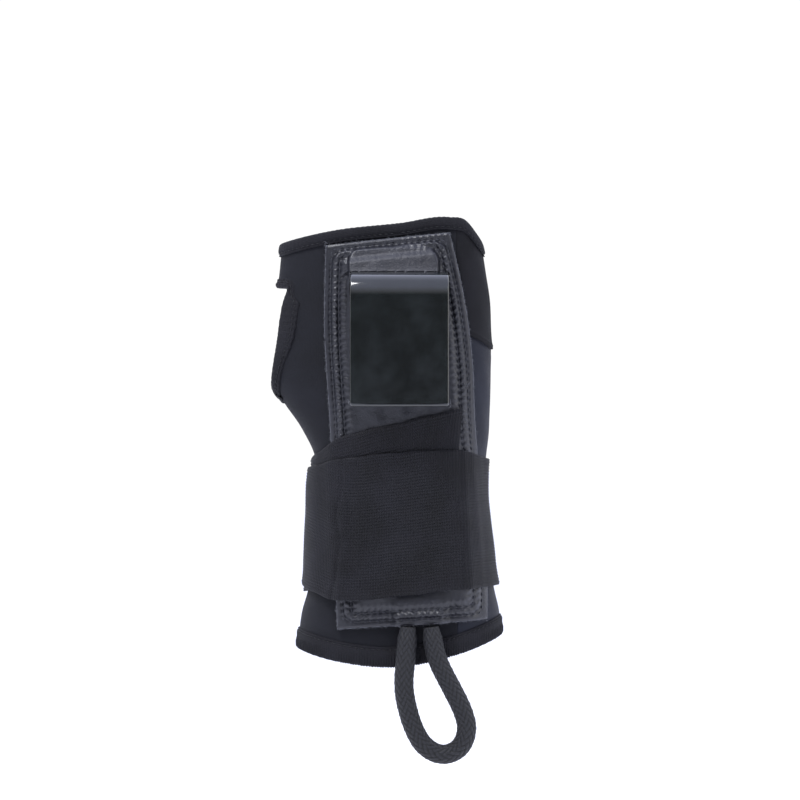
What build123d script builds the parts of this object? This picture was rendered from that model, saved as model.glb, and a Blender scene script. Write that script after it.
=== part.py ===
from build123d import *
import os
from math import pi, radians, tan

# Wrist splint for the left hand, standing as it is worn with the fingers up.
# Z runs from the forearm to the fingers, the palm faces -Y and the thumb is on -X.
# The origin is the centre of the forearm opening. Sizes are millimetres.

os.makedirs("parts", exist_ok=True)

# Overall sizes, and the sizes that the tables and outlines below are drawn at
SLEEVE_LENGTH = 212.0
FOREARM_WIDTH = 96.8
DRAWN_LENGTH = 212.0
DRAWN_WIDTH = 96.8
TALL = SLEEVE_LENGTH / DRAWN_LENGTH
BROAD = FOREARM_WIDTH / DRAWN_WIDTH


def sized(points):
    """Outline seen from the palm, sideways and height, at the sleeve's size."""
    return [(x * BROAD, z * TALL) for x, z in points]


def edge_height(edge, x):
    """Height of an opening's edge at a sideways place, straight between its points."""
    for (x0, z0), (x1, z1) in zip(edge, edge[1:]):
        if x <= x1:
            return z0 + (z1 - z0) * (x - x0) / (x1 - x0)
    return edge[-1][1]


# Hook: one flat strip bent over at the top
HOOK_WIDTH = 45.7
HOOK_MIDDLE = -0.25     # sideways
HOOK = 2.2              # thickness
HOOK_BEND = 11.0        # outside radius of the bend
HOOK_TOP = 181.8 * TALL
HOOK_LEG = 62.5         # visible leg, from the top of the bend to its lower edge
HOOK_TAIL = 60.0 * TALL # height of the hidden leg's lower end
HOOK_CORNER = 1.5
HOOK_LEFT = HOOK_MIDDLE - HOOK_WIDTH / 2
HOOK_RIGHT = HOOK_MIDDLE + HOOK_WIDTH / 2
SLIT_RISE = 0.6         # from the top of the bend to the slit's upper edge
SLIT_SIDE = 0.4         # clearance beside the strip

# Height, thumb side, little-finger side and depth of the sleeve, from the forearm up
SECTIONS = [
    (height * TALL, thumb * BROAD, little * BROAD, depth * BROAD)
    for height, thumb, little, depth in [
        (-16, 48.6, 48.2, 70.0),
        (-3, 48.6, 48.2, 70.0),
        (10, 48.2, 48.0, 69.5),
        (22, 46.8, 47.2, 67.0),
        (34, 43.6, 44.4, 63.0),
        (50, 42.4, 42.6, 60.5),
        (66, 41.8, 41.2, 58.0),
        (82, 41.2, 40.2, 56.0),
        (96, 41.0, 41.0, 54.5),
        (108, 46.4, 42.2, 53.5),
        (120, 54.6, 42.8, 52.5),
        (134, 62.0, 43.4, 50.5),
        (148, 62.6, 43.4, 48.0),
        (162, 60.6, 43.0, 46.0),
        (176, 58.2, 41.8, 44.0),
        (190, 56.6, 39.4, 42.0),
        (204, 55.4, 37.0, 40.5),
        (218, 54.4, 36.2, 39.0),
    ]
]
NEOPRENE = 3.0          # thickness of the sleeve's panels
FRONT = SECTIONS[0][3] / 2  # from the origin to the sleeve's flat palm side
FLAT_MARGIN = 2.65      # the flat strip of the palm side is this much wider than the hook, each side
FLAT = HOOK_WIDTH / 2 + FLAT_MARGIN
FRONT_SHARE = 0.44      # share of the depth that lies in front of the widest line
REACH = 110.0           # how far the cutting prisms run past the sleeve
ABOVE = 300.0
BELOW = -40.0

# Edges of the two openings
FOREARM_EDGE = sized([(-80, 15), (-48, 4.1), (-2, -3.1), (48, 10.6), (80, 26)])
FINGER_EDGE = sized(
    [(-80, 190), (-56, 196.6), (-30, 202.2), (0, 205.5), (23, 208.3), (31, 206.8), (37, 200), (52, 180)]
)

BINDING = 1.2           # thickness of the folded bindings
FINGER_BINDING = 6.0    # their widths
FOREARM_BINDING = 9.6
THUMB_BINDING = 8.0

THUMB_HOLE = sized([(-88, 178), (-60.5, 177.2), (-52.4, 175.6), (-56.6, 160), (-64.6, 131.5), (-88, 124)])
THUMB_CORNER = 3.0
THUMB_EDGE = -25.0      # front-to-back place of the edge that the outline shows
THUMB_LEAN = 0.6        # the hole leans towards the back of the hand by this much per millimetre

# Seams between the panels
SEAM_AT_FOREARM = -4.0  # front-to-back place of the side seams
SEAM_AT_FINGERS = -17.5
SIDE_PANEL_X = HOOK_RIGHT + 4.4  # where the little-finger side panels start, under the pocket
LAP_HEIGHT = 153.5 * TALL        # the lap between them, at that line
LAP_SLOPE = -0.5

# Pocket down the palm side: how far its corners stand outside the hook's edges, and their height.
# Its two top corners hang from the finger edge, under the binding.
BACKING = 0.8
FOAM = 3.8
LEATHER = 1.2
POCKET = BACKING + FOAM + LEATHER
POCKET_LEFT = [(12.5, 161), (9.5, 105), (6.4, 14.7)]
POCKET_RIGHT = [(18.4, 19.2), (18.8, 29), (12.4, 118), (11.7, 138.6), (7.2, 171.9)]
TOP_LEFT_OUT = 11.8
TOP_LEFT_CLEAR = 0.145  # under the binding
TOP_RIGHT_OUT = 0.7
TOP_RIGHT_CLEAR = 1.244
POCKET_TOP = (-10.7, 197.6)
POCKET_CORNER = 1.5

# Flat stay inside the pocket
STAY_WIDTH = 41.0
STAY_LEFT = -23.4
STAY_BOTTOM = 24.0 * TALL
STAY_TOP = 193.4 * TALL
STAY = 1.6              # thickness
STAY_CORNER = 7.0

# Elastic strap, wrapped twice
STRAP = 1.5
INNER_END = HOOK_RIGHT + 9.7     # sewn end of the inner pass, on the pocket
INNER_TOP = [(INNER_END, 118.7 * TALL), (-46.5 * BROAD, 98.4 * TALL)]
INNER_BOTTOM = [(INNER_END, 51.5 * TALL), (-46.5 * BROAD, 33.0 * TALL)]
BEHIND_TOP = sized([(-60, 98.4), (60, 95.0)])
BEHIND_BOTTOM = sized([(-60, 33.0), (60, 34.3)])
OUTER_TOP = sized([(-60, 91.4), (0, 98.0), (60, 94.0)])
OUTER_BOTTOM = sized([(-60, 33.0), (-5, 29.8), (60, 35.0)])

# Free end of the strap, on the back
TAB_ROOT = -4.0
TAB_LENGTH = 38.0
TAB_CLEAR = 2.5         # between the outer pass and the free end, where it bends
TAB_GAP = 0.3           # between the hook tape and the loop tape
LOOP_TAPE = 0.8
HOOK_TAPE = 0.8
TAPE_MARGIN = 4.0
TAB_TOP = 92.0 * TALL
TAB_BOTTOM = 36.0 * TALL
TAB_CORNER = 8.0
OUTER_END = TAB_ROOT - TAB_CLEAR
BRIDGE_X = TAB_ROOT + TAB_LENGTH + 2  # the outer pass starts here on the back, on top of the inner pass

# Braided pull loop
CORD = 9.0              # diameter
CORD_GAP = 0.5          # between the cord and the binding behind it
CORD_PLANE = -FRONT - BINDING - CORD_GAP - CORD / 2
CORD_ROUTE = [
    (3.7, 11.8), (2.9, 1.5), (1.6, -9.5), (3.0, -21.0), (6.4, -31.5), (11.4, -40.2), (20.0, -44.2),
    (28.6, -40.6), (31.9, -31.6), (29.0, -21.5), (23.2, -11.0), (17.9, 0.3), (14.6, 11.8),
]
ANCHOR_WIDTH = 9.0
ANCHOR_BOTTOM = 18.0 * TALL
ANCHOR_TOP = 42.0 * TALL


def form(side, front=0.0):
    """Solid body of the wearer's side of a layer: side is its offset, front adds to the palm side."""
    with BuildPart() as shape:
        for height, thumb, little, depth in SECTIONS:
            ahead = FRONT_SHARE * depth
            widest = ahead - FRONT
            middle = (little - thumb) / 2
            palm = ahead + side + front
            back = depth - ahead + side
            with BuildSketch(Plane.XY.offset(height)):
                with BuildLine():
                    Line((-FLAT, widest - palm), (FLAT, widest - palm))
                    EllipticalCenterArc((FLAT, widest), little + side - FLAT, palm, 270, arc_size=90)
                    EllipticalCenterArc((middle, widest), little + side - middle, back, 0, arc_size=90)
                    EllipticalCenterArc((middle, widest), thumb + side + middle, back, 90, arc_size=90)
                    EllipticalCenterArc((-FLAT, widest), thumb + side - FLAT, palm, 180, arc_size=90)
                make_face()
        loft()
    return shape.part


def between_edges(low, high):
    """Prism between the two openings' edges, set in from them by low and high."""
    with BuildPart() as prism:
        with BuildSketch(Plane.XZ):
            with BuildLine():
                bottom = Spline(*[(x, z + low) for x, z in FOREARM_EDGE])
                top = Spline(*[(x, z - high) for x, z in FINGER_EDGE])
                Line(bottom @ 0, top @ 0)
                Line(bottom @ 1, top @ 1)
            make_face()
        extrude(amount=REACH, both=True)
    return prism.part


def thumb_prism(grow):
    """Leaning prism of the thumb hole, grown by grow."""
    with BuildPart() as prism:
        with BuildSketch(Plane.XZ.offset(-THUMB_EDGE)) as hole:
            with BuildLine():
                Polyline(*THUMB_HOLE, close=True)
            make_face()
            fillet(hole.vertices().sort_by(Axis.X)[-3:], THUMB_CORNER)
            if grow:
                offset(amount=grow)
        extrude(amount=REACH, dir=(THUMB_LEAN, 1, 0), both=True)
    return prism.part


def outline_prism(points, corner=0.0, both=False):
    """Prism of a closed outline seen from the palm, over the palm half only or over both."""
    with BuildPart() as prism:
        with BuildSketch(Plane.XZ) as outline:
            with BuildLine():
                Polyline(*points, close=True)
            make_face()
            if corner:
                fillet(outline.vertices(), corner)
        extrude(amount=REACH, both=both)
    return prism.part


def band_prism(top, bottom):
    """Prism of a band between two edges, each a straight line or an arc through three points."""
    with BuildPart() as prism:
        with BuildSketch(Plane.XZ):
            with BuildLine():
                upper = ThreePointArc(*top) if len(top) == 3 else Line(*top)
                lower = ThreePointArc(*bottom) if len(bottom) == 3 else Line(*bottom)
                Line(upper @ 0, lower @ 0)
                Line(upper @ 1, lower @ 1)
            make_face()
        extrude(amount=REACH, both=True)
    return prism.part


def behind_seam():
    """Everything behind the side seams."""
    slope = (SEAM_AT_FINGERS - SEAM_AT_FOREARM) / SLEEVE_LENGTH
    with BuildPart() as prism:
        with BuildSketch(Plane.YZ):
            with BuildLine():
                Polyline(
                    (SEAM_AT_FOREARM + slope * BELOW, BELOW), (REACH, BELOW), (REACH, ABOVE),
                    (SEAM_AT_FOREARM + slope * ABOVE, ABOVE), close=True,
                )
            make_face()
        extrude(amount=REACH, both=True)
    return prism.part


def save(piece, name):
    piece.part.label = name
    export_step(piece.part, f"parts/{name}.step")


sleeve_outside = form(0)
sleeve_inside = form(-NEOPRENE)
binding_outside = form(BINDING)
binding_inside = form(-NEOPRENE - BINDING)
back_half = behind_seam()

# Sleeve: one shell, cut into four panels that meet at their seams
with BuildPart() as sleeve:
    add(sleeve_outside)
    add(sleeve_inside, mode=Mode.SUBTRACT)
    add(between_edges(BINDING, BINDING), mode=Mode.INTERSECT)
    add(thumb_prism(BINDING), mode=Mode.SUBTRACT)

lap_ends = [(x, LAP_HEIGHT + LAP_SLOPE * (x - SIDE_PANEL_X)) for x in (SIDE_PANEL_X, REACH)]
side_foot = [(SIDE_PANEL_X, BELOW), (REACH, BELOW)]
little_side = outline_prism(side_foot + [(REACH, ABOVE), (SIDE_PANEL_X, ABOVE)], both=True)
below_lap = outline_prism(side_foot + [lap_ends[1], lap_ends[0]], both=True)

with BuildPart() as sleeve_back_panel:
    add(sleeve.part)
    add(back_half, mode=Mode.INTERSECT)
save(sleeve_back_panel, "sleeve_back_panel")

with BuildPart() as sleeve_palm_panel:
    add(sleeve.part)
    add(back_half, mode=Mode.SUBTRACT)
    add(little_side, mode=Mode.SUBTRACT)
save(sleeve_palm_panel, "sleeve_palm_panel")

with BuildPart() as side_gusset:
    add(sleeve.part)
    add(back_half, mode=Mode.SUBTRACT)
    add(below_lap, mode=Mode.INTERSECT)
save(side_gusset, "side_gusset")

with BuildPart() as hand_side_panel:
    add(sleeve.part)
    add(back_half, mode=Mode.SUBTRACT)
    add(little_side, mode=Mode.INTERSECT)
    add(below_lap, mode=Mode.SUBTRACT)
save(hand_side_panel, "hand_side_panel")

# Bindings: folded over the sleeve's three edges, inside and out
with BuildPart() as bound_shell:
    add(binding_outside)
    add(binding_inside, mode=Mode.SUBTRACT)
    add(between_edges(0, 0), mode=Mode.INTERSECT)
    add(thumb_prism(0), mode=Mode.SUBTRACT)
    add(sleeve.part, mode=Mode.SUBTRACT)

with BuildPart() as forearm_binding:
    add(bound_shell.part)
    add(between_edges(FOREARM_BINDING, -20), mode=Mode.SUBTRACT)
save(forearm_binding, "forearm_binding")

with BuildPart() as hand_binding:
    add(bound_shell.part)
    add(between_edges(-20, FINGER_BINDING), mode=Mode.SUBTRACT)
save(hand_binding, "hand_binding")

with BuildPart() as thumb_binding:
    add(bound_shell.part)
    add(thumb_prism(THUMB_BINDING), mode=Mode.INTERSECT)
    add(between_edges(FOREARM_BINDING, FINGER_BINDING), mode=Mode.INTERSECT)
save(thumb_binding, "thumb_binding")

# Pocket: backing, foam and leather, laid one on the other down the flat palm side
top_left = HOOK_LEFT - TOP_LEFT_OUT * BROAD
top_right = HOOK_RIGHT + TOP_RIGHT_OUT * BROAD
left_side = [(top_left, edge_height(FINGER_EDGE, top_left) - FINGER_BINDING - TOP_LEFT_CLEAR)]
left_side += [(HOOK_LEFT - out * BROAD, z * TALL) for out, z in POCKET_LEFT]
right_side = [(HOOK_RIGHT + out * BROAD, z * TALL) for out, z in POCKET_RIGHT]
right_side += [(top_right, edge_height(FINGER_EDGE, top_right) - FINGER_BINDING - TOP_RIGHT_CLEAR)]
pocket_area = outline_prism(left_side + right_side + sized([POCKET_TOP]), POCKET_CORNER)
backing_front = form(0, BACKING)
foam_front = form(0, BACKING + FOAM)
leather_front = form(0, POCKET)

with BuildPart() as pocket_backing:
    add(backing_front)
    add(sleeve_outside, mode=Mode.SUBTRACT)
    add(pocket_area, mode=Mode.INTERSECT)
save(pocket_backing, "pocket_backing")

stay_back = -FRONT - BACKING
stay_middle = STAY_LEFT + STAY_WIDTH / 2
with BuildPart() as inner_stay:
    with BuildSketch(Plane.XZ.offset(-stay_back)) as blank:
        with Locations((stay_middle, (STAY_TOP + STAY_BOTTOM) / 2)):
            RectangleRounded(STAY_WIDTH, STAY_TOP - STAY_BOTTOM, STAY_CORNER)
    extrude(amount=STAY)
save(inner_stay, "inner_stay")

# Hook: hidden leg on the stay, bend through the slit, visible leg over the palm
hook_back = stay_back - STAY
bend_height = HOOK_TOP - HOOK_BEND
bend_middle = hook_back - HOOK_BEND
hook_face = hook_back - 2 * HOOK_BEND
hook_bottom = HOOK_TOP - HOOK_LEG
with BuildPart() as palm_hook:
    with BuildSketch(Plane.YZ.offset(HOOK_LEFT)):
        with BuildLine():
            Line((hook_back, HOOK_TAIL), (hook_back, bend_height))
            CenterArc((bend_middle, bend_height), HOOK_BEND, 0, 180)
            Line((hook_face, bend_height), (hook_face, hook_bottom))
            Line((hook_face, hook_bottom), (hook_face + HOOK, hook_bottom))
            Line((hook_face + HOOK, hook_bottom), (hook_face + HOOK, bend_height))
            CenterArc((bend_middle, bend_height), HOOK_BEND - HOOK, 0, 180)
            Line((hook_back - HOOK, bend_height), (hook_back - HOOK, HOOK_TAIL))
            Line((hook_back - HOOK, HOOK_TAIL), (hook_back, HOOK_TAIL))
        make_face()
    extrude(amount=HOOK_WIDTH)
    fillet(palm_hook.edges().filter_by(Axis.Y), HOOK_CORNER)
save(palm_hook, "palm_hook")

# The loop's two ends, sewn flat between the stay and the leather
anchor_at = [CORD_ROUTE[0][0], CORD_ROUTE[-1][0]]
with BuildPart() as loop_anchor:
    with BuildSketch(Plane.XZ.offset(-hook_back)):
        with Locations(*[(x, (ANCHOR_TOP + ANCHOR_BOTTOM) / 2) for x in anchor_at]):
            RectangleRounded(ANCHOR_WIDTH, ANCHOR_TOP - ANCHOR_BOTTOM, 1)
    extrude(amount=FOAM - STAY)
save(loop_anchor, "loop_anchor")

hook_room = (
    Pos(HOOK_MIDDLE, hook_back - (FOAM - STAY) / 2, (HOOK_TAIL + HOOK_TOP + SLIT_RISE) / 2)
    * Box(HOOK_WIDTH + 2 * SLIT_SIDE, FOAM - STAY, HOOK_TOP + SLIT_RISE - HOOK_TAIL)
)
with BuildPart() as pocket_foam:
    add(foam_front)
    add(backing_front, mode=Mode.SUBTRACT)
    add(pocket_area, mode=Mode.INTERSECT)
    add(inner_stay.part, mode=Mode.SUBTRACT)
    add(hook_room, mode=Mode.SUBTRACT)
    add(loop_anchor.part, mode=Mode.SUBTRACT)
save(pocket_foam, "pocket_foam")

with BuildPart() as pocket_leather:
    add(leather_front)
    add(foam_front, mode=Mode.SUBTRACT)
    add(pocket_area, mode=Mode.INTERSECT)
    with BuildSketch(Plane.XZ.offset(FRONT)):
        with Locations((HOOK_MIDDLE, (bend_height + HOOK_TOP + SLIT_RISE) / 2)):
            Rectangle(HOOK_WIDTH + 2 * SLIT_SIDE, HOOK_TOP + SLIT_RISE - bend_height)
    extrude(amount=2 * POCKET, mode=Mode.SUBTRACT)
save(pocket_leather, "pocket_leather")

# Strap: the inner pass starts on the pocket's edge, goes round by the thumb side and the
# back, and the outer pass carries on over it as far as the free end on the back
inner_face = form(STRAP, POCKET)
outer_face = form(2 * STRAP, POCKET)
inner_front_area = band_prism(INNER_TOP, INNER_BOTTOM)
inner_back_area = band_prism(BEHIND_TOP, BEHIND_BOTTOM)
outer_area = band_prism(OUTER_TOP, OUTER_BOTTOM)

with BuildPart() as inner_front:
    add(inner_face)
    add(leather_front, mode=Mode.SUBTRACT)
    add(inner_front_area, mode=Mode.INTERSECT)
    add(back_half, mode=Mode.SUBTRACT)

with BuildPart() as inner_back:
    add(inner_face)
    add(sleeve_outside, mode=Mode.SUBTRACT)
    add(inner_back_area, mode=Mode.INTERSECT)
    add(back_half, mode=Mode.INTERSECT)

free_end_room = Pos((OUTER_END + BRIDGE_X) / 2, REACH / 2, 0) * Box(BRIDGE_X - OUTER_END, REACH, 2 * ABOVE)
with BuildPart() as wrap_strap:
    add(outer_face)
    add(inner_face, mode=Mode.SUBTRACT)
    add(outer_area, mode=Mode.INTERSECT)
    add(free_end_room, mode=Mode.SUBTRACT)
    add(inner_front.part)
    add(inner_back.part)
save(wrap_strap, "wrap_strap")


def tab_layer(inside, outside, margin):
    """Rounded patch of a layer on the back, from one offset to another, over the free end."""
    left = TAB_ROOT + margin
    right = TAB_ROOT + TAB_LENGTH - margin
    low = TAB_BOTTOM + margin
    high = TAB_TOP - margin
    inner = form(inside, POCKET)
    outer = form(outside, POCKET)
    with BuildPart() as layer:
        add(outer)
        add(inner, mode=Mode.SUBTRACT)
        with BuildSketch(Plane.XZ):
            with Locations(((left + right) / 2, (low + high) / 2)):
                RectangleRounded(right - left, high - low, max(TAB_CORNER - margin, 1))
        extrude(amount=-REACH, mode=Mode.INTERSECT)
    return layer.part


tape_face = STRAP + LOOP_TAPE
hook_tape_inside = tape_face + TAB_GAP
tab_inside = hook_tape_inside + HOOK_TAPE
with BuildPart() as strap_loop_patch:
    add(tab_layer(STRAP, tape_face, TAPE_MARGIN))
save(strap_loop_patch, "strap_loop_patch")

with BuildPart() as strap_hook_patch:
    add(tab_layer(hook_tape_inside, tab_inside, TAPE_MARGIN))
save(strap_hook_patch, "strap_hook_patch")

with BuildPart() as strap_end_tab:
    add(tab_layer(tab_inside, tab_inside + STRAP, 0))
save(strap_end_tab, "strap_end_tab")


def corner_radii(route):
    """Radius of each corner: as large as its two runs allow."""
    radii = []
    for before, corner, after in zip(route, route[1:], route[2:]):
        run_in = Vector(corner[0] - before[0], corner[1] - before[1])
        run_out = Vector(after[0] - corner[0], after[1] - corner[1])
        shorter = min(run_in.length, run_out.length)
        radii.append(0.45 * shorter / tan(radians(run_in.get_angle(run_out) / 2)))
    return radii


# Pull loop: a round cord whose two ends are rounded so that it swings under the pocket's edge
cord_radii = corner_radii(CORD_ROUTE)
print("cord radii", [round(r, 1) for r in cord_radii])
with BuildPart() as pull_loop:
    with BuildLine(Plane.XZ.offset(-CORD_PLANE)) as cord_line:
        FilletPolyline(*CORD_ROUTE, radius=cord_radii)
    with BuildSketch(Plane(cord_line.line @ 0, z_dir=cord_line.line % 0)):
        Circle(CORD / 2)
    sweep()
    cord_tube = pull_loop.part.volume
    with Locations(*[(x, CORD_PLANE, z) for x, z in (CORD_ROUTE[0], CORD_ROUTE[-1])]):
        Sphere(CORD / 2)
save(pull_loop, "pull_loop")
cord_length = sum(edge.length for edge in cord_line.edges())
plain_tube = pi * CORD**2 / 4 * cord_length
print("cord length", round(cord_length, 1))
print("cord volume", round(cord_tube), "section times length", round(plain_tube))
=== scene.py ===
import bmesh
import bpy
import math
import numpy as np
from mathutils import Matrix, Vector


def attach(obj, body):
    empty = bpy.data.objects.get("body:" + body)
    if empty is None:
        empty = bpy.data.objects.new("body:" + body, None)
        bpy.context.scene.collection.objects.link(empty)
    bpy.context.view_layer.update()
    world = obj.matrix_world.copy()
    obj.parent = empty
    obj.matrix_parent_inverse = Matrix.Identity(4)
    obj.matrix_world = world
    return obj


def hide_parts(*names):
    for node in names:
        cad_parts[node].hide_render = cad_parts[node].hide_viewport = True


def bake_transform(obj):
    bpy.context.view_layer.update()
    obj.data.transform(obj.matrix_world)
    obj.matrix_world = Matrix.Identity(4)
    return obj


# Wrist splint, standing as worn: fingers up, palm facing -Y, thumb towards -X
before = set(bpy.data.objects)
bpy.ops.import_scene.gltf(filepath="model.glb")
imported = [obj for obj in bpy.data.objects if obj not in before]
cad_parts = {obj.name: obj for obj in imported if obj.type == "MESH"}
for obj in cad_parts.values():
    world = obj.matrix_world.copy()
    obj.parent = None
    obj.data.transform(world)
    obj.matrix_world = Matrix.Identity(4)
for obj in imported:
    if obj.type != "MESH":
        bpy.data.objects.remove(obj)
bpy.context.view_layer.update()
mm = 0.001
turnLength = 275.0     # mm, once round the sleeve
rng = np.random.default_rng(11)
print("frame loaded", len(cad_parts), "nodes")

# Camera and cord route come first

camera = {"distance": 1.6, "height": 0.1224, "seen": 0.384, "sensor": 36.0}

cordPiece = {
    "diameter": 9.0,
    "plane": -41.2,
    "carriers": 24,         # twelve yarns each way round the braid
    "lay": 3.5,             # mm of length in which a yarn moves one place round
    "relief": 0.58,         # how far the yarns' crowns stand above their crossings
    "sides": 132,
    "route": [
        (3.7, 16.2), (3.3, 7.0), (2.2, -2.0), (1.7, -11.5), (3.0, -21.0), (6.4, -31.5), (11.4, -40.2),
        (20.0, -44.2), (28.6, -40.6), (31.9, -31.6), (29.0, -21.5), (23.4, -11.0), (18.4, -1.5),
        (15.6, 7.0), (14.5, 16.2),
    ],
}


def makeCamera():
    data = bpy.data.cameras.new("camera")
    data.sensor_width = camera["sensor"]
    data.lens = camera["sensor"] * camera["distance"] / camera["seen"]
    data.clip_end = 50
    eye = bpy.data.objects.new("camera", data)
    bpy.context.collection.objects.link(eye)
    eye.location = (0, -camera["distance"], camera["height"])
    eye.rotation_euler = (math.pi / 2, 0, 0)
    bpy.context.scene.camera = eye


makeCamera()

# Colour and node helpers


def hexColour(code):
    # sRGB hex to linear
    values = [int(code[i:i + 2], 16) / 255 for i in (1, 3, 5)]
    linear = [v / 12.92 if v <= 0.04045 else ((v + 0.055) / 1.055) ** 2.4 for v in values]
    return (*linear, 1.0)


def addNode(tree, kind, settings=None, links=None):
    # one node with its settings and its incoming links; "ramp" gives a colour ramp's two ends
    made = tree.nodes.new(kind)
    for key, value in (settings or {}).items():
        if key == "ramp":
            for stop, code in zip(made.color_ramp.elements, value):
                stop.color = hexColour(code)
        elif isinstance(key, str) and hasattr(made, key):
            setattr(made, key, value)
        else:
            made.inputs[key].default_value = value
    for key, source in (links or {}).items():
        tree.links.new(source, made.inputs[key])
    return made


def newMaterial(name):
    made = bpy.data.materials.new(name)
    made.use_nodes = True
    made.node_tree.nodes.clear()
    return made, made.node_tree


def finishMaterial(tree, shader):
    addNode(tree, "ShaderNodeOutputMaterial", links={"Surface": shader.outputs["BSDF"]})


# The sleeve's form, in mm

form = {
    "front": 35.0,
    "flat": 25.5,
    "frontShare": 0.44,
    # height, thumb side, little-finger side, depth
    "sections": [
        (-16, 48.6, 48.2, 70.0), (-3, 48.6, 48.2, 70.0), (10, 48.2, 48.0, 69.5), (22, 46.8, 47.2, 67.0),
        (34, 43.6, 44.4, 63.0), (50, 42.4, 42.6, 60.5), (66, 41.8, 41.2, 58.0), (82, 41.2, 40.2, 56.0),
        (96, 41.0, 41.0, 54.5), (108, 46.4, 42.2, 53.5), (120, 54.6, 42.8, 52.5), (134, 62.0, 43.4, 50.5),
        (148, 62.6, 43.4, 48.0), (162, 60.6, 43.0, 46.0), (176, 58.2, 41.8, 44.0), (190, 56.6, 39.4, 42.0),
        (204, 55.4, 37.0, 40.5), (218, 54.4, 36.2, 39.0),
    ],
    "forearmEdge": [(-80, 15), (-48, 4.1), (-2, -3.1), (48, 10.6), (80, 26)],
    "fingerEdge": [
        (-80, 190), (-56, 196.6), (-30, 202.2), (0, 205.5), (23, 208.3), (31, 206.8), (37, 200), (52, 180)
    ],
    "shares": (0.09, 0.215, 0.785, 0.91),   # where the ring's five stretches meet
}


def smoothCurve(at, points):
    # Hermite curve through (x, value) points
    xs = np.array([p[0] for p in points], float)
    ys = np.array([p[1] for p in points], float)
    slopes = np.gradient(ys, xs)
    at = np.clip(at, xs[0], xs[-1])
    i = np.clip(np.searchsorted(xs, at) - 1, 0, len(xs) - 2)
    gap = xs[i + 1] - xs[i]
    t = (at - xs[i]) / gap
    a = (1 + 2 * t) * (1 - t) ** 2 * ys[i] + t * (1 - t) ** 2 * gap * slopes[i]
    b = t * t * (3 - 2 * t) * ys[i + 1] + t * t * (t - 1) * gap * slopes[i + 1]
    return a + b


def sectionAt(z):
    rows = form["sections"]
    return [smoothCurve(z, [(row[0], row[k]) for row in rows]) for k in (1, 2, 3)]


def ringPoint(s, z, side=0.0, front=0.0):
    # a point of the sleeve's outside: s runs round from the middle of the palm side towards the little finger
    s, z = np.broadcast_arrays(np.asarray(s, float) % 1.0, np.asarray(z, float))
    thumb, little, depth = sectionAt(z)
    ahead = form["frontShare"] * depth
    widest = ahead - form["front"]
    middle = (little - thumb) / 2
    palm = ahead + side + front
    back = depth - ahead + side
    a, b, c, d = form["shares"]
    flat = form["flat"]
    quarter = math.pi / 2
    right = quarter * np.clip((s - a) / (b - a), 0, 1)
    behind = math.pi * np.clip((s - b) / (c - b), 0, 1)
    left = quarter * np.clip((s - c) / (d - c), 0, 1)
    reach = np.where(behind < quarter, little + side - middle, thumb + side + middle)
    x = np.where(s < a, flat * s / a, flat + (little + side - flat) * np.sin(right))
    y = np.where(s < a, widest - palm, widest - palm * np.cos(right))
    x = np.where((s >= b) & (s < c), middle + reach * np.cos(behind), x)
    y = np.where((s >= b) & (s < c), widest + back * np.sin(behind), y)
    x = np.where((s >= c) & (s < d), -flat - (thumb + side - flat) * np.cos(left), x)
    y = np.where((s >= c) & (s < d), widest - palm * np.sin(left), y)
    x = np.where(s >= d, -flat + flat * (s - d) / (1 - d), x)
    y = np.where(s >= d, widest - palm, y)
    return np.stack([x, y, z], -1)


def palmPoint(x, z, side=0.0, front=0.0):
    # a point of the palm side over a given place seen from the front
    x, z = np.broadcast_arrays(np.asarray(x, float), np.asarray(z, float))
    thumb, little, depth = sectionAt(z)
    ahead = form["frontShare"] * depth
    palm = ahead + side + front
    over = np.maximum(np.abs(x) - form["flat"], 0)
    width = np.where(x > 0, little, thumb) + side - form["flat"]
    y = ahead - form["front"] - palm * np.sqrt(np.clip(1 - (over / width) ** 2, 0.0, 1))
    return np.stack([x, y, z], -1)


def addMesh(name, vertices, faces, smooth=True):
    # a mesh object from corners in mm
    data = bpy.data.meshes.new(name)
    data.from_pydata((np.asarray(vertices) * mm).tolist(), [], faces)
    data.polygons.foreach_set("use_smooth", [smooth] * len(data.polygons))
    made = bpy.data.objects.new(name, data)
    bpy.context.collection.objects.link(made)
    return made


def gridNormals(points, closed=False):
    # unit normals of a grid of points, pointing out when columns run with s and rows run up
    if closed:
        across = np.roll(points, -1, 1) - np.roll(points, 1, 1)
    else:
        across = np.gradient(points, axis=1)
    up = np.gradient(points, axis=0)
    normal = np.cross(across, up)
    return normal / np.maximum(np.linalg.norm(normal, axis=-1, keepdims=True), 1e-9)


def gridQuads(rows, columns, closed=False):
    # row and column of each quad of a grid, and its four corner numbers
    r, c = np.meshgrid(np.arange(rows - 1), np.arange(columns if closed else columns - 1), indexing="ij")
    n = (c + 1) % columns
    return r, c, np.stack([r * columns + c, r * columns + n, (r + 1) * columns + n, (r + 1) * columns + c], -1)


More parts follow.
